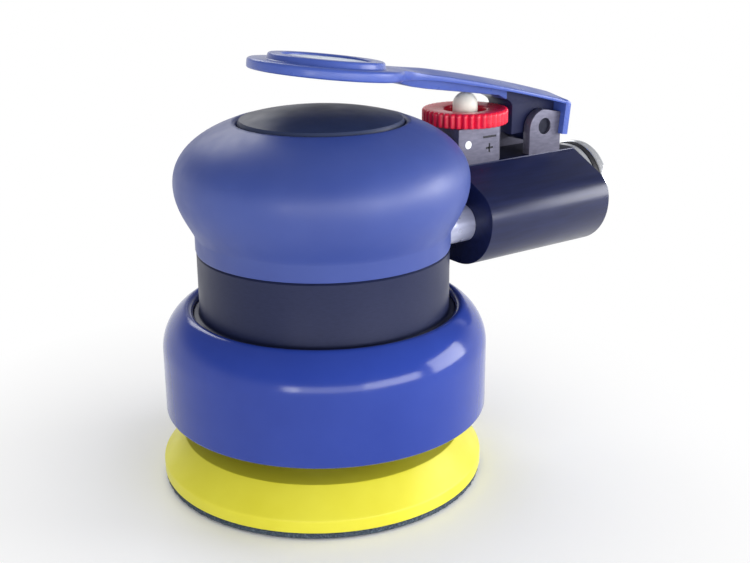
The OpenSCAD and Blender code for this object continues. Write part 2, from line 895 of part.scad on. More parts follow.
// Collar with a square front, two flats and engraved plus and minus marks
module collar() {
    mark_w = 0.5;
    mark_depth = 0.3;
    minus_len = 4.2;
    minus_z = collar_z - 2.8;
    plus_len = 2.2;
    plus_z = collar_z - 5.25;
    mark_x = stem_x + 1.8;
    face_y = -spine_w / 2;
    color("darkgray")
        difference() {
            union() {
                intersection() {
                    translate([stem_x, 0, 0])
                        bar(collar_d / 2, spine_z, collar_z);
                    translate([collar_x, -spine_w / 2, spine_z])
                        cube([2 * collar_d, spine_w, collar_z - spine_z]);
                }
                translate([collar_x, -spine_w / 2, spine_z])
                    cube([stem_x + 3.6 - collar_x, spine_w, collar_z - spine_z]);
            }
            translate([stem_x, 0, 0])
                bar(valve_bore / 2, spine_z - eps, collar_z + eps);
            // Bar of the minus mark, above the cross of the plus mark
            translate([mark_x - minus_len / 2, face_y - eps, minus_z])
                cube([minus_len, mark_depth, mark_w]);
            translate([mark_x - plus_len / 2, face_y - eps, plus_z - mark_w / 2])
                cube([plus_len, mark_depth, mark_w]);
            translate([mark_x - mark_w / 2, face_y - eps, plus_z - plus_len / 2])
                cube([mark_w, mark_depth, plus_len]);
            bar_y(dot_d / 2, face_y - 1, face_y + 0.5, dot_x, dot_z);
        }
}

module index_dot() {
    color("white")
        bar_y(dot_d / 2, -spine_w / 2 - 0.05, -spine_w / 2 + 0.5, dot_x, dot_z);
}

// Fluted ring on a ported sleeve that turns in the valve bore
module regulator_ring() {
    flute_r = PI * ring_d / flute_count / 3.4;
    color("crimson")
        translate([stem_x, 0, 0])
            difference() {
                union() {
                    bar(ring_d / 2 - 0.5, ring_z, ring_z + 0.5);
                    bar(ring_d / 2, ring_z + 0.5 - eps, ring_top - 0.5);
                    bar(ring_d / 2 - 0.5, ring_top - 0.5 - eps, ring_top);
                    bar(sleeve_d / 2, sleeve_z, ring_z + eps);
                }
                bar(ring_hole / 2, ring_top - 1.8, ring_top + eps);
                bar(stem_fit / 2, sleeve_z - eps, ring_top);
                bar(stem_d / 2 + 1, sleeve_z - eps, stem_low - 1);
                for (i = [0:flute_count - 1])
                    rotate([0, 0, 360 * i / flute_count])
                        translate([ring_d / 2 + 0.3 * flute_r, 0, 0])
                            cylinder(r = flute_r, h = ring_top + eps, $fn = 16);
                bar_y(cross_d / 2, -sleeve_d, sleeve_d, 0, cross_z);
            }
}

module valve_stem() {
    ball_z = stem_top - stem_d / 2;
    color("ivory")
        translate([stem_x, 0, 0]) {
            translate([0, 0, ball_z])
                sphere(r = stem_d / 2, $fn = 48);
            bar(stem_d / 2, stem_low, ball_z);
            bar(rod_d / 2, seat_z - plug_h - 0.5, stem_low + eps);
        }
}

module valve_plug() {
    color("black")
        translate([stem_x, 0, 0])
            ring(rod_d / 2, plug_d / 2, seat_z - plug_h, seat_z - 0.02);
}

module valve_seat() {
    color("goldenrod")
        translate([stem_x, 0, 0])
            ring(rod_d / 2 + 1.2, valve_bore / 2, seat_z, seat_z + seat_h);
}

// Helical spring between the floor of the bore and the plug
module valve_spring() {
    sides = 8;
    steps = 14 * spring_turns;
    low = valve_floor + wire_d / 2;
    high = seat_z - plug_h - wire_d / 2 - spring_gap;
    mean_r = (spring_d - wire_d) / 2;
    rings = [for (i = [0:steps]) for (k = [0:sides - 1])
        let (turn = 360 * spring_turns * i / steps,
            r = mean_r + wire_d / 2 * cos(360 * k / sides))
            [r * cos(turn), r * sin(turn),
                low + (high - low) * i / steps + wire_d / 2 * sin(360 * k / sides)]];
    walls = [for (i = [0:steps - 1]) for (k = [0:sides - 1])
        [i * sides + k, i * sides + (k + 1) % sides,
            (i + 1) * sides + (k + 1) % sides, (i + 1) * sides + k]];
    first = [for (k = [sides - 1:-1:0]) k];
    last = [for (k = [0:sides - 1]) steps * sides + k];
    color("lightgray")
        translate([stem_x, 0, 0])
            polyhedron(rings, concat(walls, [first], [last]));
}

// ---------- lever ----------

// Outline seen from above: round paddle, flared neck, arm and square heel
module lever_plan() {
    steps = 20;
    upper = [for (i = [0:steps])
        let (x = neck_start + (heel_x - 1 - neck_start) * i / steps) [x, arm_half(x)]];
    lower = [for (i = [steps:-1:0]) [upper[i][0], -upper[i][1]]];
    translate([paddle_x, 0])
        circle(r = paddle_d / 2, $fn = 96);
    polygon(concat([[paddle_x, arm_half(neck_start)]], upper,
        [[heel_x, heel_w / 2 - 1], [heel_x, -heel_w / 2 + 1]],
        lower, [[paddle_x, -arm_half(neck_start)]]));
}

// Section along the handle: the plate and the lip that hangs behind the ears
module lever_side() {
    steps = 12;
    tip = paddle_x - paddle_d / 2 - 1;
    rear = heel_x - 0.6;
    top = [for (i = [0:steps]) let (x = kink_x + (rear - kink_x) * i / steps) [x, lever_top(x)]];
    low = [for (i = [steps:-1:0]) let (x = kink_x + (lip_x - kink_x) * i / steps)
        [x, lever_top(x) - lever_t]];
    polygon(concat([[tip, lever_top(tip)]], top,
        [[heel_x, lever_top(heel_x) - 1], [heel_x - 1, lip_low], [lip_x, lip_low]],
        low, [[tip, lever_top(tip) - lever_t]]));
}

// Rib under the arm that presses the stem, and the web round the pivot pin
module lever_rib() {
    nose_x = neck_start + 5;
    polygon(concat(
        [[neck_start, lever_top(neck_start) - lever_t / 2],
            [kink_x, lever_top(kink_x) - lever_t / 2],
            [pivot_x, lever_top(pivot_x) - lever_t / 2],
            [lip_x + 1, lever_top(lip_x + 1) - lever_t / 2], [lip_x + 1, lip_low + 1]],
        arc(pivot_x, pivot_z, web_r, -60, -160, 8),
        [[web_x, pivot_z + web_r / 2], [web_x, rib_low(web_x) - 2.2],
            [web_x - web_notch, rib_low(web_x) - 0.9],
            [web_x - web_root, rib_low(web_x - web_root)], [kink_x - 2, rib_low(kink_x - 2)],
            [nose_x, rib_low(nose_x) + 0.6]]));
}

// Wedge over one side of the arm, which leaves its top crowned
module crown_cut(side) {
    steps = 10;
    over = 12;
    start = kink_x - crown_fade;
    end = heel_x + 2;
    edge = [for (i = [0:steps])
        let (x = start + (end - start) * i / steps)
            [x, lever_top(x) - kink_z + max(0, kink_x + 2 - x) * crown_rise]];
    translate([0, side * crown_half, kink_z])
        rotate([90 - side * crown_tilt, 0, 0])
            translate([0, 0, -2 * heel_w])
                linear_extrude(4 * heel_w)
                    polygon(concat(edge, [[end, over], [start, over]]));
}

module lever() {
    low = pivot_z - 10;
    color("mediumslateblue")
        difference() {
            union() {
                intersection() {
                    translate([0, heel_w + paddle_d, 0])
                        rotate([90, 0, 0])
                            linear_extrude(2 * (heel_w + paddle_d))
                                lever_side();
                    translate([0, 0, low])
                        linear_extrude(60)
                            lever_plan();
                }
                translate([0, rib_w / 2, 0])
                    rotate([90, 0, 0])
                        linear_extrude(rib_w)
                            lever_rib();
                at_paddle()
                    cylinder(r = step_d / 2, h = step_h);
            }
            at_paddle()
                translate([0, 0, step_h - badge_t])
                    cylinder(r = badge_d / 2, h = 2);
            for (side = [-1, 1])
                crown_cut(side);
            bar_y(pin_fit / 2, -heel_w, heel_w, pivot_x, pivot_z);
        }
}

// Frame on the tilted top of the paddle
module at_paddle() {
    translate([paddle_x, 0, lever_top(paddle_x) - eps])
        rotate([0, paddle_tilt, 0])
            children();
}

module paddle_disc() {
    color("white")
        at_paddle()
            translate([0, 0, step_h - badge_t])
                cylinder(r = badge_d / 2 - 0.05, h = badge_t - 0.1);
}

module lever_pin() {
    color("silver")
        bar_y(pin_d / 2, -spine_w / 2 + 0.6, spine_w / 2 - 0.6, pivot_x, pivot_z);
}

// ---------- hose connection and silencer ----------

module inlet_bushing() {
    groove_x = body_end + bushing_len - 4;
    color("gainsboro")
        difference() {
            union() {
                bar_x(bushing_thread_d / 2, body_end - bushing_seat, body_end + eps, 0, lobe_z);
                bar_x(bushing_d / 2 - 0.5, body_end, body_end + bushing_len - 0.5, 0, lobe_z);
                bar_x(bushing_d / 2, groove_x + 1.5, body_end + bushing_len - 0.5, 0, lobe_z);
                bar_x(bushing_d / 2 - 0.5, groove_x, body_end + bushing_len, 0, lobe_z);
            }
            translate([groove_x, 0, lobe_z])
                rotate([0, 90, 0])
                    ring(bushing_d / 2 - 1.4, bushing_d, 0, 1.5);
            bar_x(hose_thread_d / 2, body_end + bushing_len - hose_thread_len,
                body_end + bushing_len + eps, 0, lobe_z);
            bar_x(air_d / 2, body_end - bushing_seat - eps, body_end + bushing_len, 0, lobe_z);
        }
}

module bushing_seal() {
    groove_x = body_end + bushing_len - 4;
    color("black")
        translate([groove_x + 0.75, 0, lobe_z])
            rotate([0, 90, 0])
                ring(bushing_d / 2 - 1.4, bushing_d / 2 - 0.3, -0.75, 0.75);
}

// Strainer disc at the bottom of the hose thread
module inlet_screen() {
    x = body_end + bushing_len - hose_thread_len - screen_t;
    color("silver")
        difference() {
            bar_x(air_d / 2, x, x + screen_t, 0, lobe_z);
            for (ring_i = [1:2])
                for (a = [0:360 / (6 * ring_i):359])
                    bar_x(0.5, x - eps, x + screen_t + eps, 1.7 * ring_i * cos(a),
                        lobe_z + 1.7 * ring_i * sin(a));
        }
}

module silencer() {
    color("peru")
        bar_x(silencer_d / 2, body_end - silencer_len, body_end - 0.3, -silencer_y, lobe_z);
}

hook_facing();
pad_foam();
pad_hub();
pad_stud();
spindle();
spindle_screw();
spindle_inner_race();
spindle_outer_race();
spindle_balls();
spindle_circlip();
balancer();
rotor_key();
rotor();
vanes();
lower_inner_race();
lower_outer_race();
lower_balls();
lower_end_plate();
upper_inner_race();
upper_outer_race();
upper_balls();
upper_end_plate();
shaft_circlip();
cylinder_liner();
alignment_pin();
lock_ring();
motor_housing();
skirt();
grip();
cap();
inlet_tube();
exhaust_tube();
valve_body();
collar();
index_dot();
regulator_ring();
valve_stem();
valve_plug();
valve_seat();
valve_spring();
lever();
paddle_disc();
lever_pin();
inlet_bushing();
bushing_seal();
inlet_screen();
silencer();
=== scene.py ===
"""Looks of the palm-grip orbital sander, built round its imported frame.

Lengths in the tables below are in millimetres and become metres through MM.
The motor axis is Z, the handle points along +X and the hook facing lies at Z = 0.
"""
import json
import math

import bpy
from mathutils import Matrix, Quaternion, Vector


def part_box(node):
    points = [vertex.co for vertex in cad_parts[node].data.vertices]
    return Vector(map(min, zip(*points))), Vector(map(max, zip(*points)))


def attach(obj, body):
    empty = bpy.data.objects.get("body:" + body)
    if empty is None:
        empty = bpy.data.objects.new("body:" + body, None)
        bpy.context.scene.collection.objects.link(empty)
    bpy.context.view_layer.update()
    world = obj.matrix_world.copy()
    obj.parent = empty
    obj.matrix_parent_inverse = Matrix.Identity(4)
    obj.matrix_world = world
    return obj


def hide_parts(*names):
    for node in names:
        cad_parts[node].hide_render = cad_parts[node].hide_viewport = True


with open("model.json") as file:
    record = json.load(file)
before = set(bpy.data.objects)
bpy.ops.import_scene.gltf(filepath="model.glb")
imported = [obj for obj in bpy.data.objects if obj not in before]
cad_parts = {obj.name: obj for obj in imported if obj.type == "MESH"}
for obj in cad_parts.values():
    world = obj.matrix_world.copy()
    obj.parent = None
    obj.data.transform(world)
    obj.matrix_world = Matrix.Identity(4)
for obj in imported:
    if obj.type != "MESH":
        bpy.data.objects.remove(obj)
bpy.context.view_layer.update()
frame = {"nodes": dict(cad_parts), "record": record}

MM = 0.001
SIDES = 128          # sides of a large turned piece
SMALL_SIDES = 64     # sides of a small one
SOFT_EDGE = math.radians(32)


# ---------- places taken from the frame ----------

def low(node):
    """Lowest corner of a CAD node in millimetres."""
    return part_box(node)[0] / MM


def high(node):
    """Highest corner of a CAD node in millimetres."""
    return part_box(node)[1] / MM


def middle(node):
    """Middle of a CAD node's box in millimetres."""
    return (low(node) + high(node)) / 2


# ---------- modelling helpers ----------

def deselect():
    """Leaves edit mode with nothing selected."""
    active = bpy.context.view_layer.objects.active
    if active and active.mode != "OBJECT":
        bpy.ops.object.mode_set(mode="OBJECT")
    bpy.ops.object.select_all(action="DESELECT")


def pick(piece):
    """Makes one piece the only one selected, and active."""
    deselect()
    piece.select_set(True)
    bpy.context.view_layer.objects.active = piece


def settle(piece):
    """Puts a piece's place, turn and scale into its mesh."""
    pick(piece)
    bpy.ops.object.transform_apply(location=True, rotation=True, scale=True)


def soften(piece, angle=SOFT_EDGE):
    """Smooth shading with crisp edges kept."""
    pick(piece)
    bpy.ops.object.shade_smooth_by_angle(angle=angle)


def face_out(piece):
    """Merges doubles and turns every face outwards."""
    pick(piece)
    bpy.ops.object.mode_set(mode="EDIT")
    bpy.ops.mesh.select_all(action="SELECT")
    bpy.ops.mesh.remove_doubles(threshold=0.00001)
    bpy.ops.mesh.normals_make_consistent(inside=False)
    bpy.ops.object.mode_set(mode="OBJECT")


def arc(r, z, radius, start, end, steps):
    """Rings along an arc of an outline, with angles in degrees."""
    turn = [math.radians(start + (end - start) * i / steps) for i in range(steps + 1)]
    return [(r + radius * math.cos(a), z + radius * math.sin(a)) for a in turn]


def turned(name, rings, sides=SIDES, centre=(0, 0), looped=True):
    """Turns an outline about a line along Z: a circle is added at its first ring and
    extruded to each next one. A looped outline ends where it starts; any other one
    starts and ends near the axis and is shut there."""
    deselect()
    first_r, first_z = rings[0]
    axis = (centre[0] * MM, centre[1] * MM)
    bpy.ops.mesh.primitive_circle_add(
        vertices=sides, radius=first_r * MM, location=(*axis, first_z * MM))
    piece = bpy.context.object
    piece.name = name
    settle(piece)
    bpy.ops.object.mode_set(mode="EDIT")
    bpy.ops.mesh.select_mode(type="EDGE")
    bpy.ops.mesh.select_all(action="SELECT")
    for (old_r, old_z), (new_r, new_z) in zip(rings, rings[1:]):
        bpy.ops.mesh.extrude_edges_move(
            TRANSFORM_OT_translate={"value": (0, 0, (new_z - old_z) * MM)})
        grow = new_r / old_r
        bpy.ops.transform.resize(
            value=(grow, grow, 1), center_override=(*axis, new_z * MM))
    bpy.ops.mesh.select_all(action="DESELECT")
    bpy.ops.mesh.select_non_manifold()
    if looped:
        bpy.ops.mesh.bridge_edge_loops()
    else:
        bpy.ops.mesh.fill_holes(sides=0)
    face_out(piece)
    soften(piece)
    return piece


def along_x(piece, start, y, z):
    """Lays a piece turned about Z along X, with its Z = 0 at the start."""
    piece.rotation_euler = (0, math.pi / 2, 0)
    piece.location = (start * MM, y * MM, z * MM)
    settle(piece)
    return piece


def block(name, corner, size):
    """A block from its lowest corner and its size."""
    deselect()
    centre = [(c + s / 2) * MM for c, s in zip(corner, size)]
    bpy.ops.mesh.primitive_cube_add(size=1, location=centre, scale=[s * MM for s in size])
    piece = bpy.context.object
    piece.name = name
    settle(piece)
    return piece


def rod(name, radius, length, centre, axis="Z", sides=SMALL_SIDES):
    """A round bar by its middle."""
    deselect()
    turn = {"X": (0, math.pi / 2, 0), "Y": (math.pi / 2, 0, 0), "Z": (0, 0, 0)}[axis]
    bpy.ops.mesh.primitive_cylinder_add(
        vertices=sides, radius=radius * MM, depth=length * MM,
        location=[c * MM for c in centre], rotation=turn)
    piece = bpy.context.object
    piece.name = name
    settle(piece)
    return piece


def combine(piece, tool, operation):
    """Cuts a tool from a piece, joins it or keeps what they share, and drops the tool."""
    pick(piece)
    modifier = piece.modifiers.new(operation.title(), "BOOLEAN")
    modifier.operation = operation
    modifier.solver = "EXACT"
    modifier.object = tool
    bpy.ops.object.modifier_apply(modifier=modifier.name)
    bpy.data.objects.remove(tool)
    return piece


def round_edges(piece, width, segments=3, angle=30):
    """Rounds the sharp edges with a bevel."""
    pick(piece)
    modifier = piece.modifiers.new("Round", "BEVEL")
    modifier.width = width * MM
    modifier.segments = segments
    modifier.limit_method = "ANGLE"
    modifier.angle_limit = math.radians(angle)
    modifier.use_clamp_overlap = True
    bpy.ops.object.modifier_apply(modifier=modifier.name)
    return piece


def extruded(name, outline, thickness, plane):
    """A flat outline filled and extruded: plane XZ grows along Y, YZ along X."""
    deselect()
    bpy.ops.mesh.primitive_circle_add(vertices=len(outline), radius=MM)
    piece = bpy.context.object
    piece.name = name
    for vertex, (across, up) in zip(piece.data.vertices, outline):
        vertex.co = (across * MM, 0, up * MM) if plane == "XZ" else (0, across * MM, up * MM)
    bpy.ops.object.mode_set(mode="EDIT")
    bpy.ops.mesh.select_all(action="SELECT")
    bpy.ops.mesh.edge_face_add()
    step = thickness * MM
    move = (0, step, 0) if plane == "XZ" else (step, 0, 0)
    bpy.ops.mesh.extrude_region_move(TRANSFORM_OT_translate={"value": move})
    face_out(piece)
    return piece


def shift(piece, x=0, y=0, z=0):
    """Moves a piece's mesh by millimetres."""
    piece.location = (x * MM, y * MM, z * MM)
    settle(piece)
    return piece


def place(piece, body, slot, material, *nodes):
    """Gives a piece its finish and hangs it on its body in place of CAD nodes."""
    piece.data.materials.clear()
    piece.data.materials.append(material)
    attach(piece, body)
    if nodes:
        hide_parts(*nodes)
    return piece


# ---------- finishes ----------

def shade(red, green, blue):
    """A colour given as it looks on a screen, from 0 to 255."""
    def straight(value):
        value /= 255
        return value / 12.92 if value <= 0.04045 else ((value + 0.055) / 1.055) ** 2.4
    return straight(red), straight(green), straight(blue), 1.0


class Finish:
    """A material with its shader and the pattern nodes that feed it."""

    def __init__(self, name, metallic=0.0, specular=0.5):
        self.material = bpy.data.materials.new(name)
        self.material.use_nodes = True
        self.tree = self.material.node_tree
        self.shader = self.tree.nodes["Principled BSDF"]
        self.shader.inputs["Metallic"].default_value = metallic
        self.shader.inputs["Specular IOR Level"].default_value = specular
        self.coords = self.tree.nodes.new("ShaderNodeTexCoord")
        self.normal = None

    def link(self, source, target):
        self.tree.links.new(source, target)

    def stretched(self, scale):
        """Object coordinates stretched along each axis."""
        mapping = self.tree.nodes.new("ShaderNodeMapping")
        mapping.inputs["Scale"].default_value = scale
        self.link(self.coords.outputs["Object"], mapping.inputs["Vector"])
        return mapping.outputs["Vector"]

    def noise(self, scale, detail=3.0, roughness=0.55, stretch=(1, 1, 1)):
        node = self.tree.nodes.new("ShaderNodeTexNoise")
        node.inputs["Scale"].default_value = scale
        node.inputs["Detail"].default_value = detail
        node.inputs["Roughness"].default_value = roughness
        self.link(self.stretched(stretch), node.inputs["Vector"])
        return node.outputs["Fac"]

    def cells(self, scale):
        node = self.tree.nodes.new("ShaderNodeTexVoronoi")
        node.inputs["Scale"].default_value = scale
        self.link(self.stretched((1, 1, 1)), node.inputs["Vector"])
        return node.outputs["Distance"]

    def spread(self, source, low_value, high_value, start=0.3, end=0.7):
        """Maps a pattern to a range of values."""
        node = self.tree.nodes.new("ShaderNodeMapRange")
        node.inputs["From Min"].default_value = start
        node.inputs["From Max"].default_value = end
        node.inputs["To Min"].default_value = low_value
        node.inputs["To Max"].default_value = high_value
        self.link(source, node.inputs["Value"])
        return node.outputs["Result"]

    def tones(self, source, *stops):
        """Colours along a pattern, as (place, colour) pairs."""
        node = self.tree.nodes.new("ShaderNodeValToRGB")
        ramp = node.color_ramp
        while len(ramp.elements) < len(stops):
            ramp.elements.new(0.5)
        for element, (at, colour) in zip(ramp.elements, stops):
            element.position = at
            element.color = colour
        self.link(source, node.inputs["Fac"])
        self.link(node.outputs["Color"], self.shader.inputs["Base Color"])

    def sheen_from(self, source, smooth, rough):
        """Roughness between two values along a pattern."""
        self.link(self.spread(source, smooth, rough), self.shader.inputs["Roughness"])

    def relief(self, source, strength, depth):
        """Adds bumps of a depth in millimetres."""
        node = self.tree.nodes.new("ShaderNodeBump")
        node.inputs["Strength"].default_value = strength
        node.inputs["Distance"].default_value = depth * MM
        self.link(source, node.inputs["Height"])
        if self.normal:
            self.link(self.normal, node.inputs["Normal"])
        self.normal = node.outputs["Normal"]
        self.link(self.normal, self.shader.inputs["Normal"])


def moulded(name, dark, mid, light, smooth, rough, grain=900, depth=0.02, **kwargs):
    """Moulded plastic or rubber: faint clouds of tone and a fine grain."""
    finish = Finish(name, **kwargs)
    clouds = finish.noise(45, detail=4)
    finish.tones(clouds, (0.3, dark), (0.5, mid), (0.7, light))
    finish.sheen_from(finish.noise(160, detail=2), smooth, rough)
    finish.relief(finish.noise(grain, detail=2), 0.35, depth)
    return finish.material


def metal(name, dark, light, smooth, rough, stretch=(1, 1, 1), scale=600, depth=0.01,
          metallic=1.0, **kwargs):
    """Metal with marks of its last tool, drawn out along one direction."""
    finish = Finish(name, metallic=metallic, **kwargs)
    marks = finish.noise(scale, detail=3, stretch=stretch)
    finish.tones(marks, (0.35, dark), (0.65, light))
    finish.sheen_from(finish.noise(90, detail=3), smooth, rough)
    finish.relief(marks, 0.3, depth)
    return finish.material


def hook_felt():
    """Dark woven facing with a napped edge."""
    finish = Finish("hook_felt", specular=0.25)
    fibres = finish.noise(2600, detail=4, roughness=0.7)
    finish.tones(fibres, (0.3, shade(38, 46, 58)), (0.52, shade(66, 78, 92)),
                 (0.75, shade(118, 130, 146)))
    finish.sheen_from(fibres, 0.8, 0.95)
    finish.relief(fibres, 0.9, 0.3)
    finish.relief(finish.cells(1500), 0.6, 0.2)
    return finish.material


GRIP_BLUE = moulded("grip_blue", shade(42, 63, 138), shade(47, 68, 143), shade(52, 73, 148),
                    0.4, 0.5, grain=1500, depth=0.015, specular=0.65)
SKIRT_BLUE = moulded("skirt_blue", shade(34, 56, 141), shade(38, 60, 146), shade(42, 64, 151),
                     0.12, 0.18, grain=500, depth=0.01, specular=0.35)
LEVER_BLUE = moulded("lever_blue", shade(60, 82, 163), shade(66, 89, 170), shade(72, 95, 176),
                     0.26, 0.36, grain=900, depth=0.012, specular=0.45)
CAP_DARK = moulded("cap_dark", shade(34, 44, 75), shade(40, 51, 83), shade(47, 58, 91),
                   0.42, 0.52, grain=2200, depth=0.03, specular=0.3)
PAD_YELLOW = moulded("pad_yellow", shade(215, 207, 50), shade(221, 214, 60), shade(227, 221, 74),
                     0.34, 0.46, grain=1200, depth=0.03, specular=0.35)
RING_RED = moulded("ring_red", shade(206, 14, 48), shade(220, 22, 58), shade(230, 32, 68),
                   0.22, 0.32, grain=1000, depth=0.01, specular=0.5)
STEM_IVORY = moulded("stem_ivory", shade(226, 226, 212), shade(234, 234, 222), shade(240, 240, 230),
                     0.3, 0.4, grain=1200, depth=0.008)
DISC_WHITE = moulded("disc_white", shade(206, 218, 238), shade(214, 226, 244), shade(222, 233, 248),
                     0.25, 0.35, grain=1500, depth=0.005)
DOT_WHITE = moulded("dot_white", shade(228, 230, 236), shade(236, 238, 242), shade(242, 244, 248),
                    0.5, 0.6, grain=3000, depth=0.01)
SEAL_BLACK = moulded("seal_black", shade(20, 20, 24), shade(26, 26, 32), shade(32, 32, 40),
                     0.5, 0.6, grain=1600, depth=0.02)
HUB_BLACK = moulded("hub_black", shade(24, 26, 30), shade(32, 34, 40), shade(42, 44, 52),
                    0.55, 0.7, grain=1400, depth=0.05)
VANE_BROWN = moulded("vane_brown", shade(96, 62, 34), shade(112, 74, 42), shade(128, 88, 52),
                     0.5, 0.65, grain=1800, depth=0.03)
# Dark navy painted shade for the web round the pin, which lies in shadow under the lever
WEB_SHADE_NAVY = moulded("lever_web_painted_shade", shade(22, 26, 58), shade(27, 32, 68), shade(33, 38, 78),
                   0.4, 0.5, grain=900, depth=0.012, specular=0.3)
MARK_DARK = moulded("mark_dark", shade(14, 15, 26), shade(20, 21, 34), shade(26, 28, 42),
                    0.6, 0.7, grain=2000, depth=0.01)

BAND_BLACK = metal("band_black", shade(28, 34, 64), shade(33, 39, 71), 0.34, 0.44,
                   stretch=(1, 1, 14), scale=700, depth=0.003, metallic=0.1, specular=0.25)
HANDLE_BLACK = metal("handle_black", shade(22, 28, 62), shade(27, 34, 72), 0.26, 0.34,
                     stretch=(0.12, 1, 1), scale=900, depth=0.001, metallic=0.1, specular=0.45)
# Darker, duller finish for the spine's flat top: painted shade between the collar and the ears,
# under the lever
SPINE_TOP_SHADE = metal("spine_top_painted_shade", shade(18, 21, 42), shade(23, 26, 50), 0.5, 0.6,
                    stretch=(0.12, 1, 1), scale=900, depth=0.001, metallic=0.1, specular=0.08)
# Near-black finish for the lever pin: painted shade in the ears' pin holes
PIN_HOLE_SHADE = metal("pin_hole_painted_shade", shade(20, 22, 38), shade(28, 30, 48), 0.4, 0.5,
                  scale=900, depth=0.002, metallic=0.3, specular=0.2)
TUBE_METAL = metal("tube_metal", shade(176, 180, 208), shade(190, 194, 220), 0.26, 0.36,
                   stretch=(0.15, 1, 1), scale=900, depth=0.002, metallic=0.4)
COLLAR_GREY = metal("collar_grey", shade(90, 89, 107), shade(103, 102, 121), 0.42, 0.55,
                    stretch=(0.3, 1, 1), scale=1400, depth=0.004, metallic=0.45)
CHROME = metal("chrome", shade(226, 229, 236), shade(238, 240, 245), 0.14, 0.22,
               stretch=(8, 1, 1), scale=500, depth=0.001, metallic=0.7)
STEEL = metal("steel", shade(150, 152, 158), shade(176, 178, 184), 0.22, 0.36,
              stretch=(1, 1, 10), scale=500)
DARK_STEEL = metal("dark_steel", shade(42, 42, 56), shade(60, 60, 74), 0.35, 0.5,
                   stretch=(1, 1, 6), scale=500)
IRON = metal("end_plate_iron", shade(100, 100, 104), shade(126, 126, 130), 0.4, 0.6,
             scale=300, depth=0.03)
BRASS = metal("brass", shade(176, 142, 74), shade(204, 168, 94), 0.22, 0.36, stretch=(1, 1, 8))
BRONZE = metal("sintered_bronze", shade(120, 86, 48), shade(168, 124, 74), 0.5, 0.7,
               scale=1600, depth=0.2)
HOOK_FELT = hook_felt()

# Finish of each of the record's slots, for the nodes that keep their CAD shape
SLOT_FINISH = {
    "hook_fibre": HOOK_FELT, "pad_foam": PAD_YELLOW, "hub_plate": HUB_BLACK, "steel": STEEL,
    "dark_steel": DARK_STEEL, "vane_fibre": VANE_BROWN, "end_plate": IRON, "liner_steel": STEEL,
    "black_anodised": HANDLE_BLACK, "skirt_blue": SKIRT_BLUE, "grip_blue": GRIP_BLUE,
    "cap_dark": CAP_DARK, "tube_metal": TUBE_METAL, "collar_grey": COLLAR_GREY,
    "dot_white": DOT_WHITE, "ring_red": RING_RED, "stem_ivory": STEM_IVORY,
    "seal_black": SEAL_BLACK, "seat_brass": BRASS, "spring_steel": STEEL,
    "lever_blue": LEVER_BLUE, "disc_white": DISC_WHITE, "bushing_chrome": CHROME,
    "screen_mesh": STEEL, "silencer_bronze": BRONZE,
}


def dress_cad_nodes():
    """Gives each CAD node the finish of its slot."""
    for part in frame["record"]["subparts"]:
        node = frame["nodes"][part["node"]]
        node.data.materials.clear()
        node.data.materials.append(SLOT_FINISH[part["material_slot"]])
    # the pin's ends show dark, as painted shade in the holes of the ears
    frame["nodes"]["lever_pin"].data.materials[0] = PIN_HOLE_SHADE


# ---------- centre column ----------

WAIST_R = 28.9
GRIP_FOOT = low("grip").z
BELLY_R = high("grip").x
BELLY_Z = 69.0       # height of the grip's widest place
FLARE_Z = GRIP_FOOT + 3.8
DOME_Z = high("cap").z
CAP_R = high("cap").x
HOUSING_TOP = low("cap").z
NECK_R = 26.3        # hidden neck of the housing inside the grip
NECK_ROUND = 6.0
BORE_R = 23.5
FLANGE_Z = 36.0      # underside of the flange that carries the skirt
TUBE_Y = middle("inlet_tube").y
TUBE_Z = middle("inlet_tube").z
TUBE_R = (high("inlet_tube").z - low("inlet_tube").z) / 2


def dome_at(r):
    """Height of the rounded top of the grip and the cap at a radius."""
    return BELLY_Z + (DOME_Z - BELLY_Z) * (1 - (r / BELLY_R) ** 2.2) ** (1 / 2.2)


def grip_side(z):
    """Radius of the grip between its waist and its widest place."""
    if z <= FLARE_Z:
        return WAIST_R
    t = (BELLY_Z - z) / (BELLY_Z - FLARE_Z)
    return WAIST_R + (BELLY_R - WAIST_R) * (1 - t * t) ** 1.3


def make_grip():
    """Soft grip with its flared belly, cut out round the two air tubes."""
    hole = CAP_R + 0.1
    lip = 1.1
    side = [(grip_side(z), z) for z in
            [FLARE_Z + (BELLY_Z - FLARE_Z) * i / 22 for i in range(23)]]
    crown = []
    for i in range(1, 25):
        r = hole + lip + (BELLY_R - hole - lip) * math.cos(math.radians(90 * i / 24))
        crown.append((r, dome_at(r)))
    rim = arc(hole + lip, dome_at(hole + lip) - lip, lip, 80, 180, 6)
    rings = ([(NECK_R, GRIP_FOOT), (WAIST_R - 0.6, GRIP_FOOT), (WAIST_R - 0.15, GRIP_FOOT + 0.15),
              (WAIST_R, GRIP_FOOT + 0.6)] + side + crown + rim
             + [(hole, HOUSING_TOP)]
             + arc(NECK_R - NECK_ROUND, HOUSING_TOP - NECK_ROUND, NECK_ROUND, 90, 0, 10))
    grip = turned("grip_cover", rings)
    for side_y in (-TUBE_Y, TUBE_Y):
        cutter = rod("tube_cut", TUBE_R + 0.15, 30, (WAIST_R + 3, side_y, TUBE_Z), "X")
        combine(grip, cutter, "DIFFERENCE")
    soften(grip)
    return place(grip, "housing", "grip_blue", GRIP_BLUE, "grip")


def make_cap():
    """Domed cap inlaid in the grip."""
    wall = 2.2
    rim = dome_at(CAP_R) - 0.5
    top = [(r, dome_at(r)) for r in [(CAP_R - 0.5) * (1 - i / 16) for i in range(16)]]
    rings = ([(0.5, dome_at(0) - wall)]
             + [(r, dome_at(r) - wall) for r in [(CAP_R - wall) * i / 10 for i in range(1, 11)]]
             + [(CAP_R - wall, HOUSING_TOP), (CAP_R, HOUSING_TOP), (CAP_R, rim - 0.3)]
             + top + [(0.5, dome_at(0))])
    cap = turned("cap_inlay", rings, looped=False)
    return place(cap, "housing", "cap_dark", CAP_DARK, "cap")


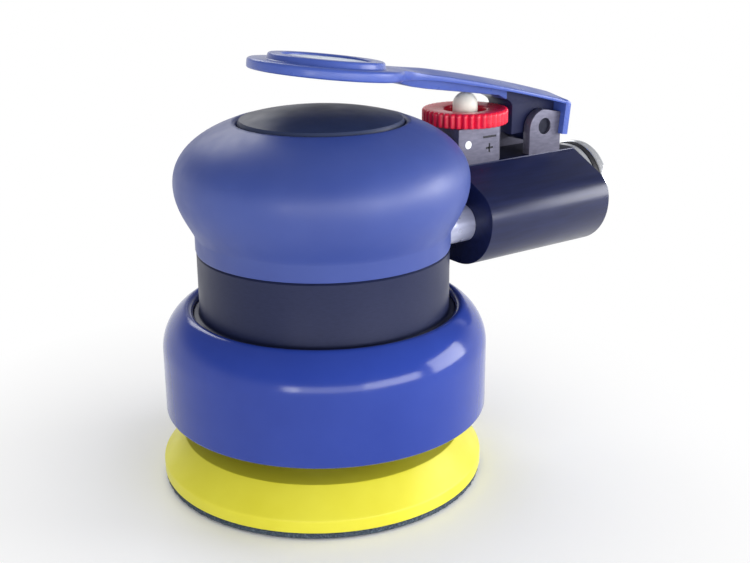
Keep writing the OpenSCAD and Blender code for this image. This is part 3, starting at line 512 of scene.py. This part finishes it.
def make_housing():
    """Motor housing: bare band, flange that carries the skirt and hidden neck."""
    band = 28.7
    nose_r, nose_z = 15.9, 62.0
    roof = HOUSING_TOP - 3.7
    foot = low("motor_housing").z
    flange = high("motor_housing").x
    flange_top = FLANGE_Z + 2.9
    rings = ([(0.5, roof), (nose_r, roof), (nose_r, nose_z), (BORE_R, nose_z), (BORE_R, foot),
              (band - 0.6, foot), (band, foot + 0.6), (band, FLANGE_Z), (flange, FLANGE_Z)]
             + arc(flange - 0.4, flange_top - 0.4, 0.4, 0, 90, 3)
             + arc(band + 0.5, flange_top + 0.5, 0.5, 270, 180, 3)
             + [(band, GRIP_FOOT - 0.4), (band - 0.3, GRIP_FOOT - 0.05), (NECK_R, GRIP_FOOT - 0.05)]
             + arc(NECK_R - NECK_ROUND, HOUSING_TOP - NECK_ROUND, NECK_ROUND, 0, 90, 10)
             + [(0.5, HOUSING_TOP)])
    housing = turned("housing_shell", rings, looped=False)
    for side_y in (-TUBE_Y, TUBE_Y):
        cutter = rod("tube_cut", TUBE_R, 14, (WAIST_R, side_y, TUBE_Z), "X")
        combine(housing, cutter, "DIFFERENCE")
    soften(housing)
    return place(housing, "housing", "black_anodised", BAND_BLACK, "motor_housing")


def make_skirt():
    """Glossy skirt with a rolled crown that grips the housing's flange."""
    outer = high("skirt").x
    foot = low("skirt").z
    wall = 2.6
    round_r = 10.8
    round_z = 31.0
    crown_r = 1.4
    seat = 30.2
    collar_r, collar_z = 28.75, 33.0
    inner_round, inner_z = 6.5, 26.5
    across = (seat + crown_r - (outer - round_r)) / (round_r - crown_r)
    lean = math.degrees(math.acos(across))
    crown_z = round_z + (round_r - crown_r) * math.sin(math.radians(lean))
    rings = (arc(outer - 0.9, foot + 0.9, 0.9, 270, 360, 5)
             + arc(outer - round_r, round_z, round_r, 0, lean, 20)
             + arc(seat + crown_r, crown_z, crown_r, lean, 180, 8)[1:]
             + [(seat, FLANGE_Z), (collar_r, FLANGE_Z), (collar_r, collar_z)]
             + arc(outer - wall - inner_round, inner_z, inner_round, 60, 0, 8)
             + [(outer - wall, foot + 0.8)]
             + arc(outer - wall + 0.5, foot + 0.5, 0.5, 180, 270, 3))
    skirt = turned("skirt_shell", rings)
    return place(skirt, "housing", "skirt_blue", SKIRT_BLUE, "skirt")


# ---------- pad ----------

PAD_X = middle("pad_foam").x
PAD_R = (high("pad_foam").x - low("pad_foam").x) / 2


def make_pad():
    """Foam pad with a straight rim and a sloping shoulder, bored for the stud's head."""
    foot = low("pad_foam").z
    top = high("pad_foam").z
    stud = (high("pad_stud").x - low("pad_stud").x) / 2
    sole = low("pad_stud").z
    rim = foot + 2.9
    rings = ([(0.5, foot), (PAD_R - 0.4, foot)]
             + arc(PAD_R - 0.4, foot + 0.4, 0.4, 300, 360, 3)
             + arc(PAD_R - 0.9, rim - 0.3, 0.9, 0, 40, 4)
             + [(PAD_R - 2.4, rim + 2.5), (32.9, top - 0.35), (32.6, top - 0.08), (32.1, top),
                (stud, top), (stud, sole), (0.5, sole)])
    pad = turned("pad_cushion", rings, sides=160, centre=(PAD_X, 0), looped=False)
    return place(pad, "pad", "pad_foam", PAD_YELLOW, "pad_foam")


def make_facing():
    """Hook facing whose napped edge wavers a little."""
    top = high("hook_facing").z
    edge = PAD_R - 0.25
    nap = 0.05
    rings = [(0.5, 0), (edge - 0.5, 0), (edge - 0.1, 0.3), (edge, 0.7), (edge - 0.1, 1.1),
             (edge - 0.5, top), (0.5, top)]
    facing = turned("hook_disc", rings, sides=720, centre=(PAD_X, 0), looped=False)
    for vertex in facing.data.vertices:
        x, y, z = vertex.co
        reach = math.hypot(x - PAD_X * MM, y)
        if reach > (edge - 0.3) * MM:
            turn = math.atan2(y, x - PAD_X * MM)
            waver = math.sin(97 * turn) + math.sin(61 * turn + 1) + math.sin(223 * turn + z * 4000)
            grow = 1 + nap * MM * waver / reach
            vertex.co = ((x - PAD_X * MM) * grow + PAD_X * MM, y * grow, z)
    return place(facing, "pad", "hook_fibre", HOOK_FELT, "hook_facing")


# ---------- handle ----------

BODY_X0 = low("valve_body").x
BODY_X1 = high("valve_body").x
LOBE_Y, LOBE_Z, LOBE_R = 7.8, 57.0, 12.0
TURN_R, FLANK_TILT = 7.0, 27.0        # round onto the flank, and the flank's tilt in degrees
VALVE_R = 6.0        # bore round the valve
BUSHING_R = 8.0      # bore that holds the inlet bushing
WEB_R = 4.4          # web of the lever round its pin
SPINE_HALF = high("collar").y
SPINE_Z = low("collar").z
STEM_X = middle("valve_stem").x
PIVOT_X, PIVOT_Z = middle("lever_pin").x, middle("lever_pin").z


def body_outline():
    """Section across the handle: lobes that turn onto sloping flanks, and the spine."""
    flank_top = SPINE_Z - 0.3
    tilt = math.radians(FLANK_TILT)
    off = ((flank_top - LOBE_Z) * math.cos(tilt) - (LOBE_Y - SPINE_HALF) * math.sin(tilt)
           - TURN_R)
    on = math.sqrt((LOBE_R - TURN_R) ** 2 - off ** 2)
    turn_y = off * math.sin(tilt) + on * math.cos(tilt)
    turn_z = off * math.cos(tilt) - on * math.sin(tilt)
    meet = math.degrees(math.atan2(turn_z, turn_y))
    right = arc(LOBE_Y, LOBE_Z, LOBE_R, -90, meet, 26)
    right += arc(LOBE_Y + turn_y, LOBE_Z + turn_z, TURN_R, meet, 90 - FLANK_TILT, 20)[1:]
    right += [(SPINE_HALF, flank_top), (SPINE_HALF, SPINE_Z)]
    left = [(-y, z) for y, z in reversed(right)]
    return right + left


def make_valve_body():
    """Anodised valve body, bored for the tubes, valve, bushing and silencer."""
    body = extruded("valve_block", body_outline(), BODY_X1 - BODY_X0, "YZ")
    shift(body, x=BODY_X0)
    round_edges(body, 0.5, 3)
    combine(body, rod("valve_cut", VALVE_R, 30, (STEM_X, 0, 65), "Z"), "DIFFERENCE")
    combine(body, rod("bush_cut", BUSHING_R, 26, (BODY_X1, 0, LOBE_Z), "X"), "DIFFERENCE")
    silencer = middle("silencer")
    combine(body, rod("silencer_cut", 3.2, 12, (BODY_X1, silencer.y, silencer.z), "X"),
            "DIFFERENCE")
    for side_y in (-TUBE_Y, TUBE_Y):
        combine(body, rod("tube_cut", TUBE_R, 6, (BODY_X0, side_y, TUBE_Z), "X"), "DIFFERENCE")
    face_out(body)
    soften(body)
    place(body, "housing", "black_anodised", HANDLE_BLACK, "valve_body")
    # the spine's flat top faces get the painted shade finish
    body.data.materials.append(SPINE_TOP_SHADE)
    for face in body.data.polygons:
        if face.normal.z > 0.98 and face.center.z / MM > SPINE_Z - 0.5:
            face.material_index = 1
    return body


def make_ears():
    """The two ears of the valve body that hold the lever's pin, machined bright."""
    corner = 4.8
    thick = 2.4
    ear_x0, ear_x1 = PIVOT_X - 4.9, PIVOT_X + 5.6
    ear_top = high("valve_body").z
    outline = ([(ear_x0, SPINE_Z - 0.6), (ear_x1, SPINE_Z - 0.6), (ear_x1, ear_top - 1.2)]
               + arc(ear_x0 + corner, ear_top - corner, corner, 90, 180, 14))
    for name, inner in (("near_ear", -SPINE_HALF), ("far_ear", SPINE_HALF - thick)):
        ear = extruded(name, outline, thick, "XZ")
        shift(ear, y=inner)
        round_edges(ear, 0.25, 2)
        combine(ear, rod("pin_cut", 2.02, 40, (PIVOT_X, 0, PIVOT_Z), "Y"), "DIFFERENCE")
        face_out(ear)
        soften(ear)
        place(ear, "housing", "collar_grey", COLLAR_GREY)


def make_collar():
    """Collar with two flats, its rounded edges and the engraved marks."""
    bottom, top = low("collar").z, high("collar").z
    half = high("collar").y
    collar_r = 8.6
    collar = rod("regulator_collar", collar_r, top - bottom, (STEM_X, 0, (top + bottom) / 2),
                 sides=SIDES)
    front = low("collar").x
    flats = block("flats", (front, -half, bottom - 1), (30, 2 * half, top - bottom + 2))
    combine(collar, flats, "INTERSECT")
    face = block("front_block", (front, -half, bottom),
                 (STEM_X + 3.6 - front, 2 * half, top - bottom))
    combine(collar, face, "UNION")
    face_out(collar)
    round_edges(collar, 0.25, 2)
    combine(collar, rod("bore_cut", VALVE_R, 20, (STEM_X, 0, 73), "Z"), "DIFFERENCE")
    mark_x = STEM_X + 1.8
    minus_z, plus_z = top - 2.55, top - 5.25
    minus, plus, stroke = 4.2, 2.2, 0.5
    marks = [((mark_x - minus / 2, minus_z - stroke / 2), (minus, stroke)),
             ((mark_x - plus / 2, plus_z - stroke / 2), (plus, stroke)),
             ((mark_x - stroke / 2, plus_z - plus / 2), (stroke, plus))]
    for (x, z), (width, height) in marks:
        combine(collar, block("mark_cut", (x, -half - 1, z), (width, 1.3, height)), "DIFFERENCE")
        ink = block("mark_ink_%d" % (z * 100), (x + 0.02, -half + 0.12, z + 0.02),
                    (width - 0.04, 0.17, height - 0.04))
        place(ink, "housing", "collar_grey", MARK_DARK)
    soften(collar)
    return place(collar, "housing", "collar_grey", COLLAR_GREY, "collar")


def make_ring():
    """Knurled regulator ring on its sleeve, with flutes pressed into the rim."""
    flutes, flute_depth = 40, 0.55
    bottom, top = high("collar").z + 0.1, high("regulator_ring").z
    reach = (high("regulator_ring").x - low("regulator_ring").x) / 2
    sleeve = low("regulator_ring").z
    rings = ([(5.9, sleeve), (5.9, bottom), (reach - 0.9, bottom)]
             + arc(reach - 0.5, bottom + 0.5, 0.5, 270, 360, 4)
             + [(reach, bottom + 1.2), (reach, bottom + 1.9), (reach, bottom + 2.6)]
             + arc(reach - 0.7, top - 0.7, 0.7, 0, 90, 5)
             + [(reach - 2.0, top - 0.05), (reach - 4.4, top - 0.15)]
             + arc(5.6, top - 0.6, 0.4, 90, 180, 3)
             + [(5.2, top - 1.8), (3.1, top - 1.8), (3.1, sleeve)])
    ring = turned("regulator_knob", rings, sides=320, centre=(STEM_X, 0))
    for vertex in ring.data.vertices:
        x, y, z = vertex.co
        reach_here = math.hypot(x - STEM_X * MM, y)
        if reach_here > (reach - 1.0) * MM:
            turn = math.atan2(y, x - STEM_X * MM)
            wave = 0.5 - 0.5 * math.cos(flutes * turn)
            fade = min(1.0, (reach_here - (reach - 1.0) * MM) / (0.8 * MM))
            grow = 1 - flute_depth * MM * fade * (1 - wave ** 0.6) / reach_here
            vertex.co = ((x - STEM_X * MM) * grow + STEM_X * MM, y * grow, z)
    soften(ring, math.radians(50))
    return place(ring, "regulator", "ring_red", RING_RED, "regulator_ring")


def make_stem():
    """Ball-ended stem that the lever presses."""
    top = high("valve_stem").z
    foot = low("valve_stem").z
    ball = 3.0
    rings = ([(0.3, foot), (1.4, foot), (1.4, 70), (ball, 70)]
             + arc(0, top - ball, ball, 0, 84, 14) + [(0.1, top)])
    stem = turned("ball_stem", rings, sides=SMALL_SIDES, centre=(STEM_X, 0), looped=False)
    return place(stem, "stem", "stem_ivory", STEM_IVORY, "valve_stem")


def make_tubes():
    """The two air tubes between the housing and the valve body."""
    for node, side in (("inlet_tube", 1), ("exhaust_tube", -1)):
        length = high(node).x - low(node).x
        rings = ([(TUBE_R - 1.2, 0), (TUBE_R - 0.2, 0), (TUBE_R, 0.2), (TUBE_R, length - 0.2),
                  (TUBE_R - 0.2, length), (TUBE_R - 1.2, length)])
        tube = turned(node + "_pipe", rings, sides=SMALL_SIDES)
        along_x(tube, low(node).x, side * TUBE_Y, TUBE_Z)
        place(tube, "housing", "tube_metal", TUBE_METAL, node)


def make_bushing():
    """Plated bushing with its seal groove, rolled rim and bored thread."""
    start = low("inlet_bushing").x
    end = high("inlet_bushing").x
    reach = (high("inlet_bushing").z - low("inlet_bushing").z) / 2
    length = end - start
    shoulder = BODY_X1 - start
    groove = length - 4
    bore_r, thread_r, thread_length = 4.0, 5.7, 13
    rings = ([(bore_r, 0), (BUSHING_R - 0.6, 0), (BUSHING_R, 0.6), (BUSHING_R, shoulder)]
             + arc(reach - 0.9, shoulder + 0.4, 0.4, 270, 360, 3)
             + [(reach - 0.5, groove - 0.1), (reach - 0.6, groove), (reach - 1.4, groove),
                (reach - 1.4, groove + 1.5), (reach - 0.2, groove + 1.5)]
             + arc(reach - 0.3, groove + 1.8, 0.3, 300, 360, 2)
             + arc(reach - 0.8, length - 0.8, 0.8, 0, 90, 5)
             + [(thread_r + 0.6, length), (thread_r, length - 0.6),
                (thread_r, length - thread_length), (bore_r, length - thread_length)])
    bushing = turned("bushing_shell", rings)
    along_x(bushing, start, 0, LOBE_Z)
    return place(bushing, "housing", "bushing_chrome", CHROME, "inlet_bushing")


# ---------- lever ----------

PADDLE_X = middle("paddle_disc").x
PADDLE_R = high("lever").y
HEEL_X = high("lever").x
NECK_HALF, HEEL_HALF = 6.7, 8.7
NECK_START = PADDLE_X + 0.72 * PADDLE_R
NECK_X = NECK_START + 10
LEVER_T = 2.3
KINK_X, KINK_Z = 28.0, 91.25
PADDLE_SLOPE, ARM_SLOPE, ARM_CURVE = 0.122, 0.175, 0.0013
LIP_LOW = low("lever").z + 1.8
STEP_R = 0.755 * PADDLE_R
BADGE_R = 0.57 * PADDLE_R
STEP_H = 1.4
WEB_X = high("regulator_ring").x + 0.9     # front of the web, just behind the ring
WEB_END = 67.9
# where the painted shade on the web begins; the rib is split here for it
WEB_SHADE_X = WEB_X - 1.9


def lever_top(x):
    """Height of the lever's top face."""
    if x < KINK_X:
        return KINK_Z + PADDLE_SLOPE * (KINK_X - x)
    return KINK_Z - ARM_SLOPE * (x - KINK_X) - ARM_CURVE * (x - KINK_X) ** 2


def rib_low(x):
    """Height of the underside of the rib that presses the stem."""
    return high("valve_stem").z + 0.1 + 0.163 * (STEM_X - x)


def arm_half(x):
    """Half width of the arm, with its flared root at the paddle."""
    if x < NECK_X:
        return NECK_HALF + 4.7 * ((NECK_X - x) / (NECK_X - NECK_START)) ** 2
    reach = min(1.0, (x - NECK_X) / 32)
    return NECK_HALF + (HEEL_HALF - NECK_HALF) / 2 * (1 - math.cos(math.pi * reach))


def arm_path():
    """Stations along the arm, round the heel and down the lip: place, outward normal,
    half width and how far the crown has grown."""
    heel_round = 2.4
    start, last = NECK_START - 1.5, HEEL_X - heel_round
    stations = []
    for i in range(41):
        x = start + (last - start) * i / 40
        slope = (lever_top(x + 0.01) - lever_top(x - 0.01)) / 0.02
        normal = Vector((-slope, 0, 1)).normalized()
        sunk = 0.2 * max(0.0, 1 - (x - start) / 4)
        grown = min(1.0, max(0.0, (x - start - 2) / 14))
        stations.append((Vector((x, 0, lever_top(x) - sunk)), normal, arm_half(x),
                         grown * grown * (3 - 2 * grown)))
    point, normal = stations[-1][0], stations[-1][1]
    centre = point - normal * heel_round
    lean = math.atan2(normal.x, normal.z)
    for i in range(1, 9):
        turn = lean + (math.pi / 2 + 0.12 - lean) * i / 8
        normal = Vector((math.sin(turn), 0, math.cos(turn)))
        stations.append((centre + normal * heel_round, normal, HEEL_HALF, 1 - 0.7 * i / 8))
    top = stations[-1][0]
    down = Vector((normal.z, 0, -normal.x))
    for i in range(1, 5):
        stations.append((top + down * (top.z - LIP_LOW) * i / 4 / -down.z, normal, HEEL_HALF, 0.3))
    return stations


def arm_ring(half, grown):
    """Points round one section of the arm: how far across and how deep below its crest."""
    def crest(y):
        return grown * 0.21 * (math.sqrt(y * y + 2.2) - 1.5)
    across = [half * (-1 + 2 * k / 18) * 0.965 for k in range(19)]
    top = [(y, max(0.0, crest(y))) for y in across]
    edge = crest(half)
    side = [(half * 0.99, edge + 0.05), (half, edge + 0.3), (half, LEVER_T - 0.35),
            (half * 0.99, LEVER_T - 0.08), (half * 0.96, LEVER_T)]
    under = [(half * k / 3, LEVER_T) for k in (2, 1, 0, -1, -2)]
    return top + side + under + [(-y, depth) for y, depth in reversed(side)]


def make_arm():
    """The arm with its crowned top, its heel and the lip behind the ears."""
    stations = arm_path()
    count = len(arm_ring(1, 0))
    deselect()
    bpy.ops.mesh.primitive_grid_add(x_subdivisions=count, y_subdivisions=len(stations) - 1)
    arm = bpy.context.object
    arm.name = "lever_arm"
    for index, vertex in enumerate(arm.data.vertices):
        row, column = divmod(index, count + 1)
        point, normal, half, grown = stations[row]
        across, depth = arm_ring(half, grown)[column % count]
        vertex.co = (point - normal * depth + Vector((0, across, 0))) * MM
    face_out(arm)
    bpy.ops.object.mode_set(mode="EDIT")
    bpy.ops.mesh.select_all(action="DESELECT")
    bpy.ops.mesh.select_non_manifold()
    bpy.ops.mesh.fill_holes(sides=0)
    face_out(arm)
    return arm


def split_at(piece, x):
    """Adds a ring of edges where a plane across X meets the piece."""
    pick(piece)
    bpy.ops.object.mode_set(mode="EDIT")
    bpy.ops.mesh.select_all(action="SELECT")
    bpy.ops.mesh.bisect(plane_co=(x * MM, 0, 0), plane_no=(1, 0, 0))
    bpy.ops.object.mode_set(mode="OBJECT")


def rib_outline():
    """Side view of the rib that presses the stem and of the web round the pin."""
    nose_x = NECK_START + 5
    root = rib_low(WEB_X)
    under = arc(PIVOT_X, PIVOT_Z, WEB_R, -60, -160, 10)
    low_side = [(WEB_END, LIP_LOW + 1)] + under + [
        (WEB_X, PIVOT_Z - 1.6), (WEB_X, root - 2.2), (WEB_X - 0.5, root - 1.4),
        (WEB_X - 1.5, root - 0.7), (WEB_X - 2.8, root - 0.1),
        (WEB_X - 4.4, rib_low(WEB_X - 4.4)), (34, rib_low(34)), (26, rib_low(26)),
        (22, rib_low(22) + 0.15), (nose_x, rib_low(nose_x) + 0.6)]
    top_side = [(x, lever_top(x) - 1.4) for x in (NECK_START, 20, 28, 36, 44, 52, 60, WEB_END)]
    return low_side + top_side


def on_paddle(piece):
    """Tilts a piece built about Z at its height over the paddle onto the paddle's top."""
    piece.rotation_euler = (0, math.atan(PADDLE_SLOPE), 0)
    piece.location = (PADDLE_X * MM, 0, lever_top(PADDLE_X) * MM)
    settle(piece)
    return piece


def make_lever():
    """Lever: a round paddle with a raised step, the arm, the rib and the pivot web."""
    outline = [(0.5, -LEVER_T), (PADDLE_R - 0.5, -LEVER_T)]
    outline += arc(PADDLE_R - 0.5, -LEVER_T + 0.5, 0.5, 290, 360, 4)
    outline += arc(PADDLE_R - 0.7, -0.7, 0.7, 0, 80, 5)
    outline += [(STEP_R + 0.25, -0.02), (STEP_R + 0.05, 0.12), (STEP_R - 0.1, 0.6)]
    outline += arc(STEP_R - 0.75, STEP_H - 0.6, 0.6, 10, 90, 5)
    outline += arc(BADGE_R + 0.35, STEP_H - 0.35, 0.35, 90, 180, 4)
    outline += [(BADGE_R, STEP_H - 0.9), (0.5, STEP_H - 0.9)]
    lever = on_paddle(turned("lever_plate", outline, looped=False))
    combine(lever, make_arm(), "UNION")
    rib_half = 4.4
    rib = extruded("lever_rib", rib_outline(), 2 * rib_half, "XZ")
    shift(rib, y=-rib_half)
    split_at(rib, WEB_SHADE_X)
    round_edges(rib, 0.3, 2)
    combine(lever, rib, "UNION")
    combine(lever, rod("pin_cut", 2.05, 30, (PIVOT_X, 0, PIVOT_Z), "Y"), "DIFFERENCE")
    soften(lever)
    place(lever, "lever", "lever_blue", LEVER_BLUE, "lever")
    paint_web_shade(lever, rib_half)
    return lever


def paint_web_shade(lever, rib_half):
    """Paints shade on the web round the pin: its lower faces get a dark navy finish that stands in
    for the shadow under the lever.
    """
    lever.data.materials.append(WEB_SHADE_NAVY)
    for face in lever.data.polygons:
        x, y, z = face.center / MM
        # faces of the rib and web below the arm's underside get the painted shade
        inside = abs(y) < rib_half + 0.05 and WEB_SHADE_X - 0.1 < x < HEEL_X - 2.6
        if inside and z < lever_top(x) - LEVER_T - 0.02:
            face.material_index = 1


def make_badge():
    """Bare insert disc in the paddle's recess."""
    floor = STEP_H - 0.9
    radius = BADGE_R - 0.1
    disc = turned("insert_disc", [(0.5, floor - 0.05), (radius, floor - 0.05), (radius, floor + 0.3),
                                  (radius - 0.3, floor + 0.42), (0.5, floor + 0.45)], looped=False)
    on_paddle(disc)
    return place(disc, "lever", "disc_white", DISC_WHITE, "paddle_disc")


# ---------- studio ----------

def seen_directly(tree):
    """1 for what the camera, a mirror or a glass sees, 0 for light that only bounces."""
    paths = tree.nodes.new("ShaderNodeLightPath")
    value = paths.outputs["Is Camera Ray"]
    for way in ("Is Glossy Ray", "Is Transmission Ray"):
        most = tree.nodes.new("ShaderNodeMath")
        most.operation = "MAXIMUM"
        tree.links.new(value, most.inputs[0])
        tree.links.new(paths.outputs[way], most.inputs[1])
        value = most.outputs["Value"]
    return value


def floor_finish():
    """Pale floor that keeps the shadow round the object and turns plain white further out."""
    finish = Finish("studio_floor", specular=0.1)
    finish.tones(finish.noise(3), (0.3, shade(253, 253, 253)), (0.7, shade(255, 255, 255)))
    finish.shader.inputs["Roughness"].default_value = 0.8
    nodes, links = finish.tree.nodes, finish.tree.links
    reach = nodes.new("ShaderNodeVectorMath")
    reach.operation = "LENGTH"
    links.new(finish.coords.outputs["Object"], reach.inputs[0])
    share = nodes.new("ShaderNodeMath")
    share.operation = "MULTIPLY"
    links.new(finish.spread(reach.outputs["Value"], 0, 1, 0.05, 0.12), share.inputs[0])
    links.new(seen_directly(finish.tree), share.inputs[1])
    white = nodes.new("ShaderNodeEmission")
    blend = nodes.new("ShaderNodeMixShader")
    links.new(share.outputs["Value"], blend.inputs["Fac"])
    links.new(finish.shader.outputs["BSDF"], blend.inputs[1])
    links.new(white.outputs["Emission"], blend.inputs[2])
    links.new(blend.outputs["Shader"], nodes["Material Output"].inputs["Surface"])
    return finish.material


CEILING = 0.2        # brightness overhead as a share of the horizon's
AMBIENT = 0.62       # even light from all round, as a share of white
LAMPS = [            # name, place, width, height and power
    ("right window", (0.58, -0.35, 0.17), 0.42, 0.28, 2.8),
    ("front window", (0.14, -0.68, 0.13), 0.5, 0.16, 2.0),
    ("front band", (-0.385, -0.64, 0.12), 0.7, 0.16, 1.2),
    ("left window", (-0.58, -0.39, 0.11), 0.12, 0.12, 0.4),
    ("back window", (0.115, 0.60, 0.47), 0.4, 0.3, 1.4),
]


def make_surround():
    """Even white light, and for what is seen directly a white horizon under a dark ceiling."""
    world = bpy.data.worlds.new("studio")
    bpy.context.scene.world = world
    world.use_nodes = True
    tree = world.node_tree
    nodes, links = tree.nodes, tree.links
    background = nodes["Background"]
    background.inputs["Color"].default_value = (1, 1, 1, 1)
    coords = nodes.new("ShaderNodeTexCoord")
    parts = nodes.new("ShaderNodeSeparateXYZ")
    links.new(coords.outputs["Generated"], parts.inputs["Vector"])
    sky = nodes.new("ShaderNodeMapRange")
    sky.interpolation_type = "SMOOTHSTEP"
    sky.inputs["From Min"].default_value = 0.03
    sky.inputs["From Max"].default_value = 0.45
    sky.inputs["To Min"].default_value = 1.0
    sky.inputs["To Max"].default_value = CEILING
    links.new(parts.outputs["Z"], sky.inputs["Value"])
    paths = nodes.new("ShaderNodeLightPath")
    shown = nodes.new("ShaderNodeMath")
    shown.operation = "MAXIMUM"
    links.new(sky.outputs["Result"], shown.inputs[0])
    links.new(paths.outputs["Is Camera Ray"], shown.inputs[1])
    strength = nodes.new("ShaderNodeMapRange")
    strength.inputs["To Min"].default_value = AMBIENT
    links.new(shown.outputs["Value"], strength.inputs["To Max"])
    links.new(seen_directly(tree), strength.inputs["Value"])
    links.new(strength.outputs["Result"], background.inputs["Strength"])


def make_studio():
    """Pale floor, soft lamps and the surround."""
    deselect()
    bpy.ops.mesh.primitive_plane_add(size=6, location=(0, 0, -0.0002))
    floor = bpy.context.object
    floor.name = "floor"
    floor.data.materials.append(floor_finish())
    make_surround()
    for name, spot, width, height, power in LAMPS:
        bpy.ops.object.light_add(type="AREA", location=spot)
        lamp = bpy.context.object
        lamp.name = name
        lamp.data.shape = "RECTANGLE"
        lamp.data.size = width
        lamp.data.size_y = height
        lamp.data.energy = power
        aim = Vector((0, 0, 0.045)) - Vector(spot)
        lamp.rotation_euler = aim.to_track_quat("-Z", "Y").to_euler()


CAMERA_SPOT = (-0.13669, -0.20879, 0.12722)
CAMERA_AHEAD = (0.5566, 0.76913, -0.31406)
CAMERA_LEAN = -0.295     # turn about its own line of sight in degrees
CAMERA_LENS = 54.76


def make_camera():
    """Camera over the left front of the pad, looking down at the handle side."""
    lean = Quaternion((0, 0, 1), math.radians(CAMERA_LEAN))
    bpy.ops.object.camera_add(location=CAMERA_SPOT)
    camera = bpy.context.object
    camera.rotation_euler = (Vector(CAMERA_AHEAD).to_track_quat("-Z", "Y") @ lean).to_euler()
    camera.data.lens = CAMERA_LENS
    camera.data.sensor_width = 36
    camera.data.clip_start = 0.01
    bpy.context.scene.camera = camera
    bpy.context.scene.view_settings.view_transform = "Standard"


dress_cad_nodes()
make_camera()
make_housing()
make_skirt()
make_grip()
make_cap()
make_pad()
make_facing()
make_tubes()
make_valve_body()
make_ears()
make_collar()
make_bushing()
make_ring()
make_stem()
make_lever()
make_badge()
make_studio()
